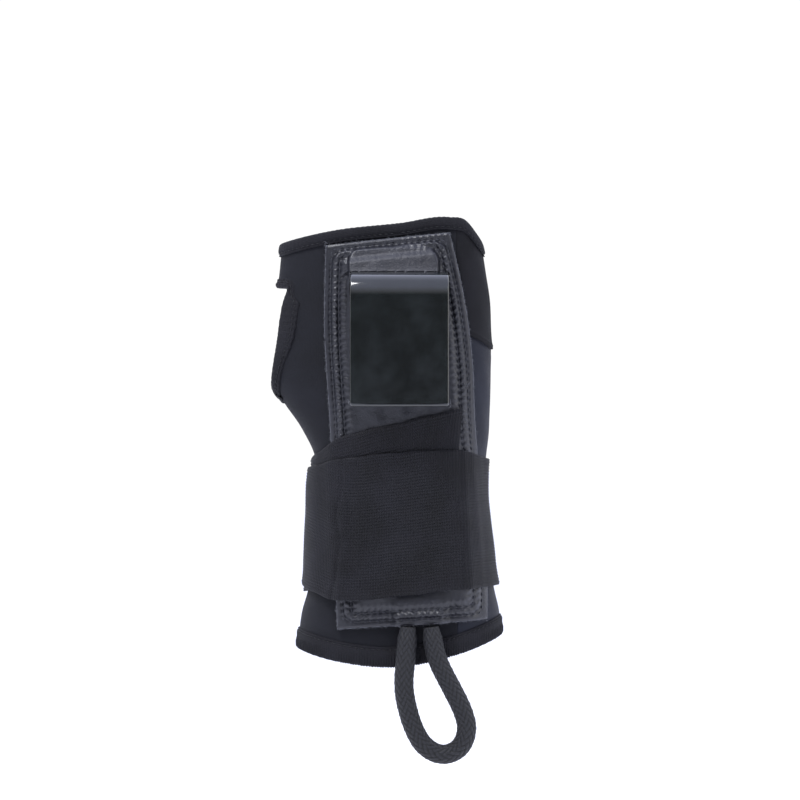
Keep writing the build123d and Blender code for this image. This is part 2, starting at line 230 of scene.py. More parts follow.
def meshFromGrid(name, points, closed=False, uv=None, keep=None):
    # a quad mesh of a grid; uv is in mm; keep says which quads stay
    rows, columns = points.shape[:2]
    r, c, quads = gridQuads(rows, columns, closed)
    corners = None
    if uv is not None:
        if closed:
            lastStep = uv[0, -1, 0] - uv[0, -2, 0]
            uv = np.concatenate([uv, uv[:, :1] + [lastStep + uv[0, -1, 0], 0]], 1)
        corners = np.stack([uv[r, c], uv[r, c + 1], uv[r + 1, c + 1], uv[r + 1, c]], -2)
    if keep is not None:
        quads = quads[keep]
        corners = None if corners is None else corners[keep]
    quads = quads.reshape(-1, 4)
    used = np.unique(quads)
    renumber = np.zeros(rows * columns, int)
    renumber[used] = np.arange(len(used))
    made = addMesh(name, points.reshape(-1, 3)[used], renumber[quads].tolist())
    if corners is not None:
        layer = made.data.uv_layers.new(name="mmUV")
        layer.data.foreach_set("uv", corners.astype(np.float32).ravel())
    return made


def thicken(piece, depth):
    # cloth thickness as real geometry, inwards from the face
    solid = piece.modifiers.new("thickness", "SOLIDIFY")
    solid.thickness = depth * mm
    solid.offset = -1
    solid.use_even_offset = False
    graph = bpy.context.evaluated_depsgraph_get()
    made = bpy.data.meshes.new_from_object(piece.evaluated_get(graph))
    piece.modifiers.clear()
    piece.data = made


def closeEnds(piece):
    # caps on the open ends of a tube or strip
    work = bmesh.new()
    work.from_mesh(piece.data)
    bmesh.ops.holes_fill(work, edges=[e for e in work.edges if e.is_boundary], sides=0)
    bmesh.ops.recalc_face_normals(work, faces=work.faces)
    work.to_mesh(piece.data)
    work.free()


def unit(vectors):
    return vectors / np.linalg.norm(vectors, axis=-1, keepdims=True)


def lengthAlong(line):
    # running length at each point of a line
    return np.concatenate([[0], np.cumsum(np.linalg.norm(np.diff(line, axis=0), axis=-1))])


def pointsAt(want, length, line):
    # points of a line at given lengths
    return np.stack([np.interp(want, length, line[:, k]) for k in range(line.shape[1])], -1)


def softenLoop(line, width, reach):
    # a closed line averaged over a bell as wide as width points
    bell = np.hanning(width)[1:-1]
    bell = bell / bell.sum()
    wrapped = np.concatenate([line[-reach:], line, line[:reach]])
    return np.stack([np.convolve(wrapped[:, k], bell, "same")[reach:-reach] for k in (0, 1)], -1)


def waves(a, b, scale, seed, layers=3):
    # smooth wandering value about 0, from a few crossed sines
    dice = np.random.default_rng(seed)
    total = np.zeros(np.broadcast(a, b).shape)
    for k in range(layers):
        turn, phase = dice.uniform(0, 2 * math.pi, 2)
        pace = (1.6 ** k) * 2 * math.pi / scale
        total = total + np.sin((a * math.cos(turn) + b * math.sin(turn)) * pace + phase) / (k + 1)
    return total / 1.8


def ramp(value, low, high):
    t = np.clip((value - low) / (high - low), 0, 1)
    return t * t * (3 - 2 * t)


def edgeZ(x, which, inset=0.0):
    return smoothCurve(x, form[which]) + inset


# Neoprene sleeve

sleevePiece = {
    "thickness": 3.0,
    "edgeInset": 1.2,
    "sideSeams": (0.215, 0.785),     # at the widest line
    "sidePanelFrom": 0.095,
    # x, height
    "lap": [(10, 156), (27, 154.2), (34, 152.0), (38.7, 149.8), (45.1, 145.2), (52, 139)],
    "lapStep": 0.9,
    "lapTuck": 7.0,
    "ripple": 0.35,
}

thumbHole = {
    # height, x of the palm edge
    "edge": [(128, -66.5), (131.5, -64.6), (137, -61.9), (145, -59.3), (152, -57.6), (160, -56.6),
             (168, -55.0), (172, -53.6), (175.6, -52.2), (178, -51.8)],
    "top": 175.6,
    "low": 126.0,
    "edgeY": -25.0,
    "lean": 0.6,
    "band": 8.6,
    "bandLow": 5.0,
    "underBand": 0.8,       # how far the panels run under the binding
}


def holeDepth(points):
    # above 0 inside the thumb hole, in mm
    x, y, z = points[..., 0], points[..., 1], points[..., 2]
    edge = smoothCurve(z, thumbHole["edge"]) + thumbHole["lean"] * (y - thumbHole["edgeY"])
    return np.minimum(np.minimum(edge - x, thumbHole["top"] - z), z - thumbHole["low"])


def fitBetween(s, v, low, high, side=0.0, front=0.0):
    # rows share out the height between two edges that depend on x
    z = 20 + v * 170
    for _ in range(5):
        x = ringPoint(s, z, side, front)[..., 0]
        z = low(x) + v * (high(x) - low(x))
    return z


def lapLine(x):
    return smoothCurve(x, sleevePiece["lap"])


def sleevePanel(name, sFrom, sTo, columns, rows, low, high, lift=None):
    s, v = np.meshgrid(np.linspace(sFrom, sTo, columns), np.linspace(0, 1, rows))
    z = fitBetween(s, v, low, high)
    points = ringPoint(s, z)
    normal = gridNormals(points)
    push = sleevePiece["ripple"] * waves(points[..., 0] * 0.7 + points[..., 1], z, 34, 3)
    push = push * np.clip(np.minimum(v, 1 - v) * 9, 0, 1)
    if lift is not None:
        push = push + lift(v)
    points = points + normal * push[..., None]
    centre = (points[:-1, :-1] + points[1:, 1:]) / 2
    around = np.cumsum(np.full_like(s, turnLength * (sTo - sFrom) / (columns - 1)), axis=1)
    keep = holeDepth(centre) < -thumbHole["underBand"]
    panel = meshFromGrid(name, points, uv=np.stack([around, z], -1), keep=keep)
    thicken(panel, sleevePiece["thickness"])
    return panel


def sleeveLow(x):
    return edgeZ(x, "forearmEdge", sleevePiece["edgeInset"])


def sleeveHigh(x):
    return edgeZ(x, "fingerEdge", -sleevePiece["edgeInset"])


def seamRoll(v):
    # the upper panel stands a little proud over the lap and has a rolled lower edge
    height = v * 55
    return sleevePiece["lapStep"] * np.exp(-height / 9) + 0.25 * np.exp(-((height - 2.2) / 0.9) ** 2)


def gussetTop(x):
    return lapLine(x) + sleevePiece["lapTuck"]


def gussetTuck(v):
    # the gusset's top sinks under the panel that laps over it
    return -sleevePiece["lapStep"] * np.clip((v - 0.93) * 18, 0, 1)


rightSeam, leftSeam = sleevePiece["sideSeams"]
side = sleevePiece["sidePanelFrom"]
palmPanel = sleevePanel("sleevePalmPanel", leftSeam, 1 + side, 150, 240, sleeveLow, sleeveHigh)
backPanel = sleevePanel("sleeveBackPanel", rightSeam, leftSeam, 190, 230, sleeveLow, sleeveHigh)
gusset = sleevePanel("sideGusset", side, rightSeam, 44, 170, sleeveLow, gussetTop, gussetTuck)
handSide = sleevePanel("handSidePanel", side, rightSeam, 44, 90, lapLine, sleeveHigh, seamRoll)
print("sleeve panels made")


# Bindings

bindings = {
    "stand": 1.35,       # outside the sleeve
    "lining": -4.25,     # inside it
    "stitch": 2.7,
    "thread": 0.24,
    "forearm": {"width": 9.6, "ribPitch": 1.25, "rib": 0.22, "columns": 1100, "overlock": 4.6},
    "finger": {"width": 6.0, "ribPitch": 2.3, "rib": 0.07, "columns": 640},
    "thumb": {"ribPitch": 2.6, "rib": 0.10, "columns": 420},
}


def foldProfile(width):
    # side offset and distance from the edge of a folded strip, outside first
    out, inside = bindings["stand"], bindings["lining"]
    return [
        (0.05, width + 0.15), (0.55, width + 0.1), (0.95, width - 0.35), (0.7, width - 0.95),
        (0.85, width - 1.35), (out - 0.05, width - 2.0), (out + 0.1, width * 0.55),
        (out + 0.05, width * 0.3), (out - 0.1, 0.9), (out - 0.45, 0.3), (out - 1.1, 0.0), (-1.5, -0.12),
        (inside + 1.1, 0.0), (inside + 0.4, 0.35), (inside, 1.2), (inside - 0.05, width * 0.5),
        (inside + 0.1, width - 1.5), (-3.0, width - 0.6),
    ]


def ribbing(around, across, pitch, height, seed):
    # knitted ribs that wander a little and fade at the seam
    drift = 0.35 * waves(around, across * 0, 26, seed)
    uneven = 0.5 * waves(around, across * 2, 3.1, seed + 1)
    return height * (np.cos(2 * math.pi * (around / pitch + drift)) + uneven)


seamLines = []      # needle lines that hold the bindings


def rimBinding(name, which, sign, spec):
    profile = np.array(foldProfile(spec["width"]))
    s = np.linspace(0, 1, spec["columns"], endpoint=False)
    points = np.zeros((len(profile), len(s), 3))
    z = np.full_like(s, 20.0 if sign > 0 else 190.0)
    for row, (side, away) in enumerate(profile):
        for _ in range(5):
            x = ringPoint(s, z, side)[..., 0]
            z = edgeZ(x, which, sign * away)
        points[row] = ringPoint(s, z, side)
    length = np.linalg.norm(np.diff(points[5], axis=0, append=points[5][:1]), axis=-1)
    around = np.broadcast_to(np.cumsum(length) - length[0], points.shape[:2])
    across = np.broadcast_to(profile[:, 1][:, None], points.shape[:2])
    normal = gridNormals(points, closed=True)
    outwards = np.sign(np.sum(normal[5] * (points[5] - points[14]), -1)).mean()
    seamLines.append(points[4].copy())
    shown = np.clip((spec["width"] - across) / 1.5, 0, 1)[..., None]
    if "overlock" in spec:
        # dense upright loops along the edge only, with a sunk needle line above them
        shown = shown * (0.25 + 0.75 * ramp(spec["overlock"] + 0.6 - across, 0, 0.8))[..., None]
        sunk = 0.35 * np.exp(-((across - spec["overlock"] - 0.5) / 0.45) ** 2)
        points = points - normal * outwards * sunk[..., None]
    ribs = ribbing(around, across, spec["ribPitch"], spec["rib"], 8)
    points = points + normal * outwards * ribs[..., None] * shown
    if outwards < 0:
        points, around, across = points[::-1], around[::-1], across[::-1]
    return meshFromGrid(name, points, closed=True, uv=np.stack([around, across], -1))


forearmBinding = rimBinding("forearmBinding", "forearmEdge", 1, bindings["forearm"])
handBinding = rimBinding("handBinding", "fingerEdge", -1, bindings["finger"])


def holePath():
    # the thumb hole's edge on the sleeve as closed (s, z), smoothed and evenly spaced
    palm, back = [], []
    s = np.linspace(0.55, 1.02, 900)
    for z in np.linspace(thumbHole["low"], thumbHole["top"], 130):
        ring = ringPoint(s, z)
        edge = smoothCurve(z, thumbHole["edge"]) + thumbHole["lean"] * (ring[:, 1] - thumbHole["edgeY"])
        inside = np.nonzero(edge > ring[:, 0])[0]
        if len(inside) > 4:
            palm.append((s[inside[-1]], z))
            back.append((s[inside[0]], z))
    sPalm, sBack = palm[-1][0], back[-1][0]
    top = [(sPalm + (sBack - sPalm) * t, thumbHole["top"]) for t in np.linspace(0.03, 0.97, 60)]
    path = np.array(palm + top + back[::-1])
    for width in (9, 5):
        closed = np.concatenate([path, path[:1]])
        length = lengthAlong(ringPoint(closed[:, 0], closed[:, 1]))
        want = np.linspace(0, length[-1], bindings["thumb"]["columns"], endpoint=False)
        path = softenLoop(pointsAt(want, length, closed), width + 2, width)
    return path


def thumbBindingGrid():
    path = holePath()
    s, z = path[:, 0], path[:, 1]
    perS = np.linalg.norm(ringPoint(s + 0.002, z) - ringPoint(s - 0.002, z), axis=-1) / 0.004
    flatX = s * perS.mean()
    along = np.stack([np.roll(s, -1) - np.roll(s, 1), np.roll(z, -1) - np.roll(z, 1)], -1)
    along[:, 0] = along[:, 0] * perS
    along = unit(along)
    away = np.stack([along[:, 1], -along[:, 0]], -1)
    centre = np.array([flatX.mean(), z.mean()])
    if np.sum(away * (np.stack([flatX, z], -1) - centre)) < 0:
        away = -away
    top = ramp(z, 168, thumbHole["top"] - 1.0)
    broad = (thumbHole["band"] - thumbHole["bandLow"]) * ramp(z, 132, 158) * (1 - top)
    width = thumbHole["bandLow"] + broad - 0.9 * top
    profile = np.array(foldProfile(1.0))
    points = np.zeros((len(profile), len(s), 3))
    across = np.zeros(points.shape[:2])
    flare = 1.3 * np.exp(-((z - z.min()) / 5) ** 2)
    for row in range(len(profile)):
        side = profile[row, 0]
        out = np.array([foldProfile(w)[row][1] for w in width])
        across[row] = out
        stand = side - 0.55 * np.clip(side, 0, 1) * top + flare * np.exp(-out / 3)
        points[row] = ringPoint(s + away[:, 0] * out / perS, z + away[:, 1] * out, stand)
    length = np.linalg.norm(np.diff(points[5], axis=0, append=points[5][:1]), axis=-1)
    around = np.broadcast_to(np.cumsum(length) - length[0], across.shape)
    return points, around, across


def thumbBindingPiece():
    spec = bindings["thumb"]
    points, around, across = thumbBindingGrid()
    normal = gridNormals(points, closed=True)
    outwards = np.sign(np.sum(normal[6] * (points[6] - points[15]), -1)).mean()
    seamLines.append(points[4].copy())
    crease = 0.28 * waves(around, across * 0.4, 9, 21)
    crease = crease + ribbing(around, across, spec["ribPitch"], spec["rib"], 31)
    fade = np.clip(across / 2 + 0.3, 0, 1)
    points = points + normal * np.sign(outwards) * crease[..., None] * fade[..., None]
    if outwards < 0:
        points, around, across = points[::-1], around[::-1], across[::-1]
    return meshFromGrid("thumbBinding", points, closed=True, uv=np.stack([around, across], -1))


thumbBinding = thumbBindingPiece()
print("bindings made")


# Pocket: leather cloth over foam

pocket = {
    # height, x
    "left": [(14.7, -29.5), (105, -32.6), (161, -35.6), (195, -34.9)],
    "right": [(19.2, 41.2), (29, 41.4), (118, 35.1), (138.6, 34.3), (171.9, 29.9), (201, 23.4)],
    # x, height
    "bottom": [(-29.5, 14.7), (41.2, 19.2)],
    "top": [(-34.9, 195.0), (-10.7, 197.6), (23.4, 201.0)],
    "corner": 1.2,
    "turn": 5.0,                  # how round the stitch rows turn their corners
    "leather": 1.1,
    "rows": (2.9, 6.9),           # stitch rows, from the edge
    "stitch": 3.0,
    "thread": 0.30,
    "backing": 0.8,
    "foamFront": 4.4,
    "slit": (-23.6, 23.1, 170.9, 182.2),     # left, right, low, high
    "stay": (-23.4, 17.5, 193.4, 7.0),       # left, right, top, corner
    "cordBulge": (9.2, 11.5, 4.0),   # where the loop's ends are sewn in: x, half width, height of the bulge
}


def outline(side, at):
    # x of the left or right side at a height, or height of the bottom or top at an x
    return smoothCurve(at, pocket[side])


def fillOutline(columns, rows, inset=0.0):
    # x and height of a grid that fills the pocket's outline
    a, b = np.meshgrid(np.linspace(0, 1, columns), np.linspace(0, 1, rows))
    x, z = -30 + 66 * a, 15 + 182 * b
    for _ in range(6):
        low, high = outline("bottom", x) + inset, outline("top", x) - inset
        z = low + b * (high - low)
        left, right = outline("left", z) + inset, outline("right", z) - inset
        x = left + a * (right - left)
    return x, z


def edgeDistance(x, z):
    # distance inside the outline with rounded corners, and a length that runs along the edge
    across = np.minimum(x - outline("left", z), outline("right", z) - x)
    upright = np.minimum(z - outline("bottom", x), outline("top", x) - z)
    r = pocket["corner"]
    inCorner = (across < r) & (upright < r)
    rounded = r - np.hypot(r - across, r - upright)
    distance = np.where(inCorner, rounded, np.minimum(across, upright))
    # the rows turn their corners in a curve
    k = pocket["turn"] + 4
    curved = k - np.hypot(np.maximum(k - across, 0), np.maximum(k - upright, 0))
    inner = np.where((across < k) & (upright < k), curved, distance)
    share = ramp(distance, 1.0, 4.0)
    return distance * (1 - share) + inner * share, np.where(across < upright, z, x)


def roundedBox(x, z, left, right, low, high, r):
    # below 0 inside
    dx = np.abs(x - (left + right) / 2) - (right - left) / 2 + r
    dz = np.abs(z - (low + high) / 2) - (high - low) / 2 + r
    return np.hypot(np.maximum(dx, 0), np.maximum(dz, 0)) + np.minimum(np.maximum(dx, dz), 0) - r


def leatherHeight(x, z):
    # how far the leather stands in front of the sleeve
    d, t = edgeDistance(x, z)
    rowA, rowB = pocket["rows"]
    height = 2.3 + 0.6 * ramp(d, 0, 1.2) + 1.5 * ramp(d, 2.6, 4.6) + 1.5 * ramp(d, rowB - 0.2, rowB + 3.4)
    pitch = pocket["stitch"]
    dimple = 0.70 + 0.30 * np.cos(2 * math.pi * t / pitch)
    left, right, top, r = pocket["stay"]
    stay = roundedBox(x, z, left - 0.6, right + 0.6, 10, top + 0.5, r)
    onStay = ramp(-stay, -0.9, 0.7) * ramp(z, 100, 175)
    clear = 1 - ramp(-stay, -2.5, 0.2) * ramp(z, 183, 186)      # the second row stops at the stay
    for row, deep, seen in ((rowA, 0.75, 1), (rowB, 0.95, clear)):
        height = height - deep * seen * dimple * np.exp(-((d - row) / 0.75) ** 2)
    pucker = np.cos(2 * math.pi * t / pitch + 1.2 * waves(t, d * 3, 11, 5)) * (0.15 + 0.85 * clear)
    between = np.exp(-((d - 4.9) / 1.1) ** 2)
    height = height + 0.30 * pucker * between + 0.20 * pucker * np.exp(-((d - 8.8) / 1.5) ** 2)
    height = height + 0.28 * waves(x * 2.2, z * 0.5, 17, 9) * ramp(d, 1, 5) * (1 - 0.9 * onStay)
    height = height + 1.0 * onStay
    # the hook's root pushes the leather out beside the slit, so the patch above it leans back
    height = height + 3.2 * onStay * ramp(z, 176, 183) * np.clip((top - z) / 11.0, 0, 1)
    crowded = np.exp(-((x - 14) / 10) ** 2) * ramp(z, 190, 193) * (0.3 + 0.7 * (1 - onStay))
    height = height + crowded * 0.30 * waves(x * 3.2, z * 0.35, 4.4, 14)
    slitLeft, slitRight, _, slitHigh = pocket["slit"]
    beside = ramp(x, slitLeft - 1.5, slitLeft + 2) * ramp(-x, -slitRight - 1.5, -slitRight + 2)
    height = height + 0.5 * beside * np.exp(-np.maximum(z - slitHigh, 0) / 1.0) * (z > slitHigh - 0.3)
    curl = np.exp(-((z - (slitHigh - 0.62 * np.maximum(slitLeft - x, 0))) / 0.55) ** 2)
    height = height - 1.5 * curl * ramp(x, slitLeft - 4.2, slitLeft - 3.4) * (x < slitLeft + 0.2)
    middle, half, bulge = pocket["cordBulge"]
    over = ramp(half + 3.5 - np.abs(x - middle), 0, 5)
    height = height + bulge * over * (1 - ramp(z, 17.5, 34))
    return height


def leatherPiece():
    x, z = fillOutline(210, 420)
    slitLeft, slitRight, slitLow, slitHigh = pocket["slit"]
    inSlit = (x > slitLeft - 0.1) & (x < slitRight + 0.1)
    for level in (slitLow, slitHigh):
        z = np.where(inSlit & (np.abs(z - level) < 0.26), level, z)
    points = palmPoint(x, z, 0.0, leatherHeight(x, z))
    cx = (x[:-1, :-1] + x[1:, 1:]) / 2
    cz = (z[:-1, :-1] + z[1:, 1:]) / 2
    keep = ~((cx > slitLeft) & (cx < slitRight) & (cz > slitLow) & (cz < slitHigh))
    d = edgeDistance(x, z)[0]
    piece = meshFromGrid("pocketLeather", points, uv=np.stack([x, z], -1), keep=keep & (d[:-1, :-1] > -0.4))
    thicken(piece, pocket["leather"])
    return piece


def slabBehind(name, inset, back, front, columns=60, rows=120):
    # a closed soft slab behind the leather, from one height to another
    x, z = fillOutline(columns, rows, inset)
    under = leatherHeight(x, z) - pocket["leather"] - 0.1
    outer = palmPoint(x, z, 0.0, np.minimum(front, under))
    inner = palmPoint(x, z, 0.0, back)
    count = rows * columns
    faces = gridQuads(rows, columns)[2].reshape(-1, 4).tolist()
    faces += [[v + count for v in reversed(f)] for f in faces]
    border = list(range(columns)) + [r * columns + columns - 1 for r in range(1, rows)]
    border += [(rows - 1) * columns + c for c in range(columns - 2, -1, -1)]
    border += [r * columns for r in range(rows - 2, 0, -1)]
    for a, b in zip(border, border[1:] + border[:1]):
        faces.append([b, a, a + count, b + count])
    return addMesh(name, np.concatenate([outer.reshape(-1, 3), inner.reshape(-1, 3)]), faces, smooth=False)


def smoothLoop(points, spacing, rounds=4):
    # evenly spaced closed line with its corners eased
    for turn in range(rounds + 1):
        closed = np.concatenate([points, points[:1]])
        length = lengthAlong(closed)
        want = np.linspace(0, length[-1], int(length[-1] / spacing), endpoint=False)
        points = pointsAt(want, length, closed)
        if turn < rounds:
            points = (np.roll(points, 1, 0) + 2 * points + np.roll(points, -1, 0)) / 4
    return points


def stitchLine(inset, rounds=4):
    # the line of one stitch row, seen from the front
    zs = np.linspace(0, 1, 60)
    low, high = outline("bottom", 0.0) + inset, outline("top", 0.0) - inset
    left = [(outline("left", z) + inset, z) for z in low - 1.5 + (high - low) * zs]
    right = [(outline("right", z) - inset, z) for z in low + 2 + (high - low) * zs]
    across = np.linspace(0, 1, 40)[1:-1]
    top = [(x, outline("top", x) - inset) for x in left[-1][0] + (right[-1][0] - left[-1][0]) * across]
    bottom = [(x, outline("bottom", x) + inset) for x in right[0][0] + (left[0][0] - right[0][0]) * across]
    corners = [(float(x), float(z)) for x, z in left + top + right[::-1] + bottom]
    return smoothLoop(np.array(corners), 1.0, rounds)


def threadPiece(name, lines, pitch, radius, skip=None, cover=0.72, sides=6, rings=5):
    # each stitch is a short thread that dives into the cloth at both ends
    vertices, faces = [], []
    for line, place in lines:
        length = lengthAlong(line)
        for k in range(int(length[-1] / pitch)):
            start = len(vertices)
            dice = rng.uniform(-0.12, 0.12, 2)
            run = (k + 0.5 + cover * np.linspace(-0.5, 0.5, rings)) * pitch + dice[0]
            flat = pointsAt(run, length, line)
            middle, out = place(flat)
            if skip is not None and skip(flat):
                continue
            rise = np.sin(np.linspace(0, math.pi, rings))
            middle = middle + out * (rise * radius * 1.5 - radius * 0.6)[:, None]
            wide = np.cross(unit(np.gradient(middle, axis=0)), out)
            for i in range(rings):
                r = radius * (0.55 + 0.45 * rise[i]) * (1 + dice[1])
                for j in range(sides):
                    turn = 2 * math.pi * j / sides
                    vertices.append(middle[i] + r * (math.cos(turn) * wide[i] + math.sin(turn) * out[i]))
            for i in range(rings - 1):
                for j in range(sides):
                    n = (j + 1) % sides
                    faces.append([start + i * sides + j, start + i * sides + n,
                                  start + (i + 1) * sides + n, start + (i + 1) * sides + j])
            faces.append([start + j for j in range(sides)][::-1])
            faces.append([start + (rings - 1) * sides + j for j in range(sides)])
    return addMesh(name, vertices, faces)


def tuft(points, normals, height, radius, lean, sides=3):
    # a short bent fibre at each point
    count = len(points)
    turn = rng.uniform(0, 2 * math.pi, count)
    a = unit(np.cross(normals, np.stack([np.cos(turn), np.zeros(count), np.sin(turn)], -1)))
    b = np.cross(normals, a)
    vertices, faces = [], []
    for k, share in enumerate((0.0, 0.6, 1.0)):
        middle = points + normals * (height * share) + a * (lean * share * share)
        r = radius * (1 - 0.7 * share)
        for j in range(sides):
            angle = 2 * math.pi * j / sides
            vertices.append(middle + r * (math.cos(angle) * a + math.sin(angle) * b))
    vertices = np.stack(vertices, 1)
    for i in range(count):
        start = i * 3 * sides
        for k in range(2):
            for j in range(sides):
                n = (j + 1) % sides
                faces.append([start + k * sides + j, start + k * sides + n,
                              start + (k + 1) * sides + n, start + (k + 1) * sides + j])
        faces.append([start + 2 * sides + j for j in range(sides)])
    return vertices.reshape(-1, 3), faces


def onLeather(flat):
    x, z = flat[:, 0], flat[:, 1]
    here = palmPoint(x, z, 0.0, leatherHeight(x, z))
    right = palmPoint(x + 0.5, z, 0.0, leatherHeight(x, z)) - here
    return here, unit(np.cross(right, np.array([0.0, 0.0, 1.0])))


fibres = {
    "count": 1500,
    "edge": (0.8, 0.07, 0.3),        # height, radius and lean
    "loose": (2.4, 0.13, 1.3),
    # loose thread ends at the right edge and at the hook's two lower corners: x, height, how many
    "ends": ((31.0, 129.4, 9), (-23.8, 121.5, 4), (23.4, 119.8, 4)),
    "middle": (3.0, 105.0),
    "half": (37, 91),
}


def cutEdgeFibres(name):
    # light fibres that stand out of the leather's raw edge
    count = fibres["count"]
    line = stitchLine(0.0, 0)
    pick = rng.integers(0, len(line), count)
    flat = line[pick] + rng.uniform(-0.45, 0.45, (count, 2))
    fromMiddle = flat - np.array(fibres["middle"])
    share = np.abs(fromMiddle) / fibres["half"]
    sign, zero = np.sign(fromMiddle), np.zeros(count)
    out = np.where((share[:, 1] > share[:, 0])[:, None],
                   np.stack([zero, sign[:, 1]], -1), np.stack([sign[:, 0], zero], -1))
    flat = flat - out * 0.3
    height = leatherHeight(flat[:, 0], flat[:, 1]) - rng.uniform(0.1, 0.9, count)
    root = palmPoint(flat[:, 0], flat[:, 1], 0.0, height)
    way = np.stack([out[:, 0], -rng.uniform(0.1, 0.9, count), out[:, 1]], -1)
    vertices, faces = tuft(root, unit(way + rng.normal(0, 0.35, (count, 3))), *fibres["edge"])
    for x, z, ends in fibres["ends"]:
        spot = np.stack([x + rng.uniform(-0.6, 0.6, ends), z + rng.uniform(-0.8, 0.8, ends)], -1)
        root = palmPoint(spot[:, 0], spot[:, 1], 0.0, leatherHeight(spot[:, 0], spot[:, 1]) - 0.1)
        way = np.stack([rng.normal(0, 0.6, ends), -rng.uniform(0.5, 1.0, ends), rng.normal(0.2, 0.7, ends)], -1)
        more, quads = tuft(root, unit(way), *fibres["loose"])
        faces += [[v + len(vertices) for v in face] for face in quads]
        vertices = np.concatenate([vertices, more])
    return addMesh(name, vertices, faces, smooth=False)


def overStay(flat):
    x, z = flat[:, 0].mean(), flat[:, 1].mean()
    return 184 < z < outline("top", x) - 4.5 and pocket["stay"][0] - 2 < x < pocket["stay"][1] + 2


def onBinding(flat):
    # outwards from the sleeve's axis, flatter than a circle
    return flat, unit((flat - np.array([0.0, -8.0, 0.0])) * np.array([0.6, 1.0, 0.0]))


leather = leatherPiece()
edgeFibres = cutEdgeFibres("leatherEdgeFibres")
foam = slabBehind("pocketFoam", 0.8, pocket["backing"] + 0.05, pocket["foamFront"])
backing = slabBehind("pocketBacking", 0.1, 0.05, pocket["backing"])
rows = [(stitchLine(d), onLeather) for d in pocket["rows"]]
pocketThread = threadPiece("pocketThread", rows, pocket["stitch"], pocket["thread"], overStay)
rows = [(np.concatenate([line, line[:1]]), onBinding) for line in seamLines]
bindingThread = threadPiece("bindingThread", rows, bindings["stitch"], bindings["thread"])
print("pocket made")


# Hook plate

hook = {
    "middle": -0.25, "width": 45.7, "thick": 2.2, "edge": 0.85, "corner": 1.6,
    "back": -37.4, "bend": 11.0, "top": 181.8, "bottom": 119.3, "tail": 60.0,
}


def hookPath():
    # middle of the strip: up the hidden leg, over the bend, down the visible leg; y, z and the outward side
    half = hook["thick"] / 2
    r = hook["bend"] - half
    bendZ = hook["top"] - hook["bend"]
    bendY = hook["back"] - hook["bend"]
    rows = [(bendY + r, z, 1.0, 0.0) for z in np.linspace(hook["tail"], bendZ, 24)[:-1]]
    for turn in np.linspace(0, math.pi, 40):
        rows.append((bendY + r * math.cos(turn), bendZ + r * math.sin(turn), math.cos(turn), math.sin(turn)))
    # the rows crowd together towards the rounded end
    start = hook["bottom"] + 3
    closing = start - 3 * (1 - np.linspace(1, 0, 16)[1:] ** 2)
    lower = np.concatenate([np.linspace(bendZ, start, 30)[1:], closing])
    rows += [(bendY - r, z, -1.0, 0.0) for z in lower]
    return np.array(rows)


def hookPiece():
    rows = hookPath()
    half, edge = hook["thick"] / 2, hook["edge"]
    toEnd = np.where(rows[:, 2] < -0.99, rows[:, 1] - hook["bottom"], 9.0)
    corner = hook["corner"]
    inset = corner - np.sqrt(np.maximum(corner ** 2 - np.maximum(corner - toEnd, 0) ** 2, 0.01))
    thin = np.sqrt(np.clip(1 - (np.maximum(edge - toEnd, 0) / edge) ** 2, 0.0, 1)) * edge + half - edge
    turns = np.linspace(0, math.pi / 2, 5)
    quarter = [(edge * math.cos(turn) - edge, edge * math.sin(turn) - edge) for turn in turns]
    loop = []        # once round the strip: share of the half width, its step, face, its step
    for sx, sy in ((1, 1), (-1, 1), (-1, -1), (1, -1)):
        sameSide = sx * sy > 0
        loop += [(sx, dx, sy, dy) for dx, dy in (quarter if sameSide else quarter[::-1])]
        if sameSide:
            loop += [(sx * k, 0.0, sy, 0.0) for k in (0.6, 0.2, -0.2, -0.6)]
    points = np.zeros((len(rows), len(loop), 3))
    for i, (y, z, ny, nz) in enumerate(rows):
        wide = hook["width"] / 2 - inset[i]
        for j, (sx, dx, sy, dy) in enumerate(loop):
            t = sy * max(thin[i] + dy, 0.02)
            x = sx * (wide + dx)
            points[i, j] = (hook["middle"] + x, y + ny * t, z + nz * t)
    piece = meshFromGrid("palmHook", points, closed=True)
    closeEnds(piece)
    return piece


hookPlate = hookPiece()
print("hook made")


# Elastic strap: one strip that goes round twice

strap = {
    "thick": 1.5,
    "pitch": 1.42,
    "rib": 0.16,
    "rows": 200,
    "start": 0.115,      # turns from the front middle
    "endX": -6.8,
    "endRange": (-1.38, -1.58),
    "middleHeight": 64.0,
    # turns, height
    "top": [(-1.5, 92.0), (-1.17, 92.3), (-1.12, 94.6), (-1.0, 98.0), (-0.885, 98.8), (-0.8, 95.5),
            (-0.5, 96.5), (-0.16, 100.0), (-0.12, 104.4), (0.0, 111.8), (0.115, 118.7)],
    "bottom": [(-1.5, 36.0), (-1.17, 32.0), (-1.12, 29.0), (-1.0, 30.7), (-0.885, 34.0), (-0.8, 34.5),
               (-0.5, 33.0), (-0.16, 34.5), (-0.12, 37.5), (0.0, 44.8), (0.115, 51.5)],
    "rise": (-0.80, -0.885, 1.62),
    "creases": (-0.885, -1.115),
}


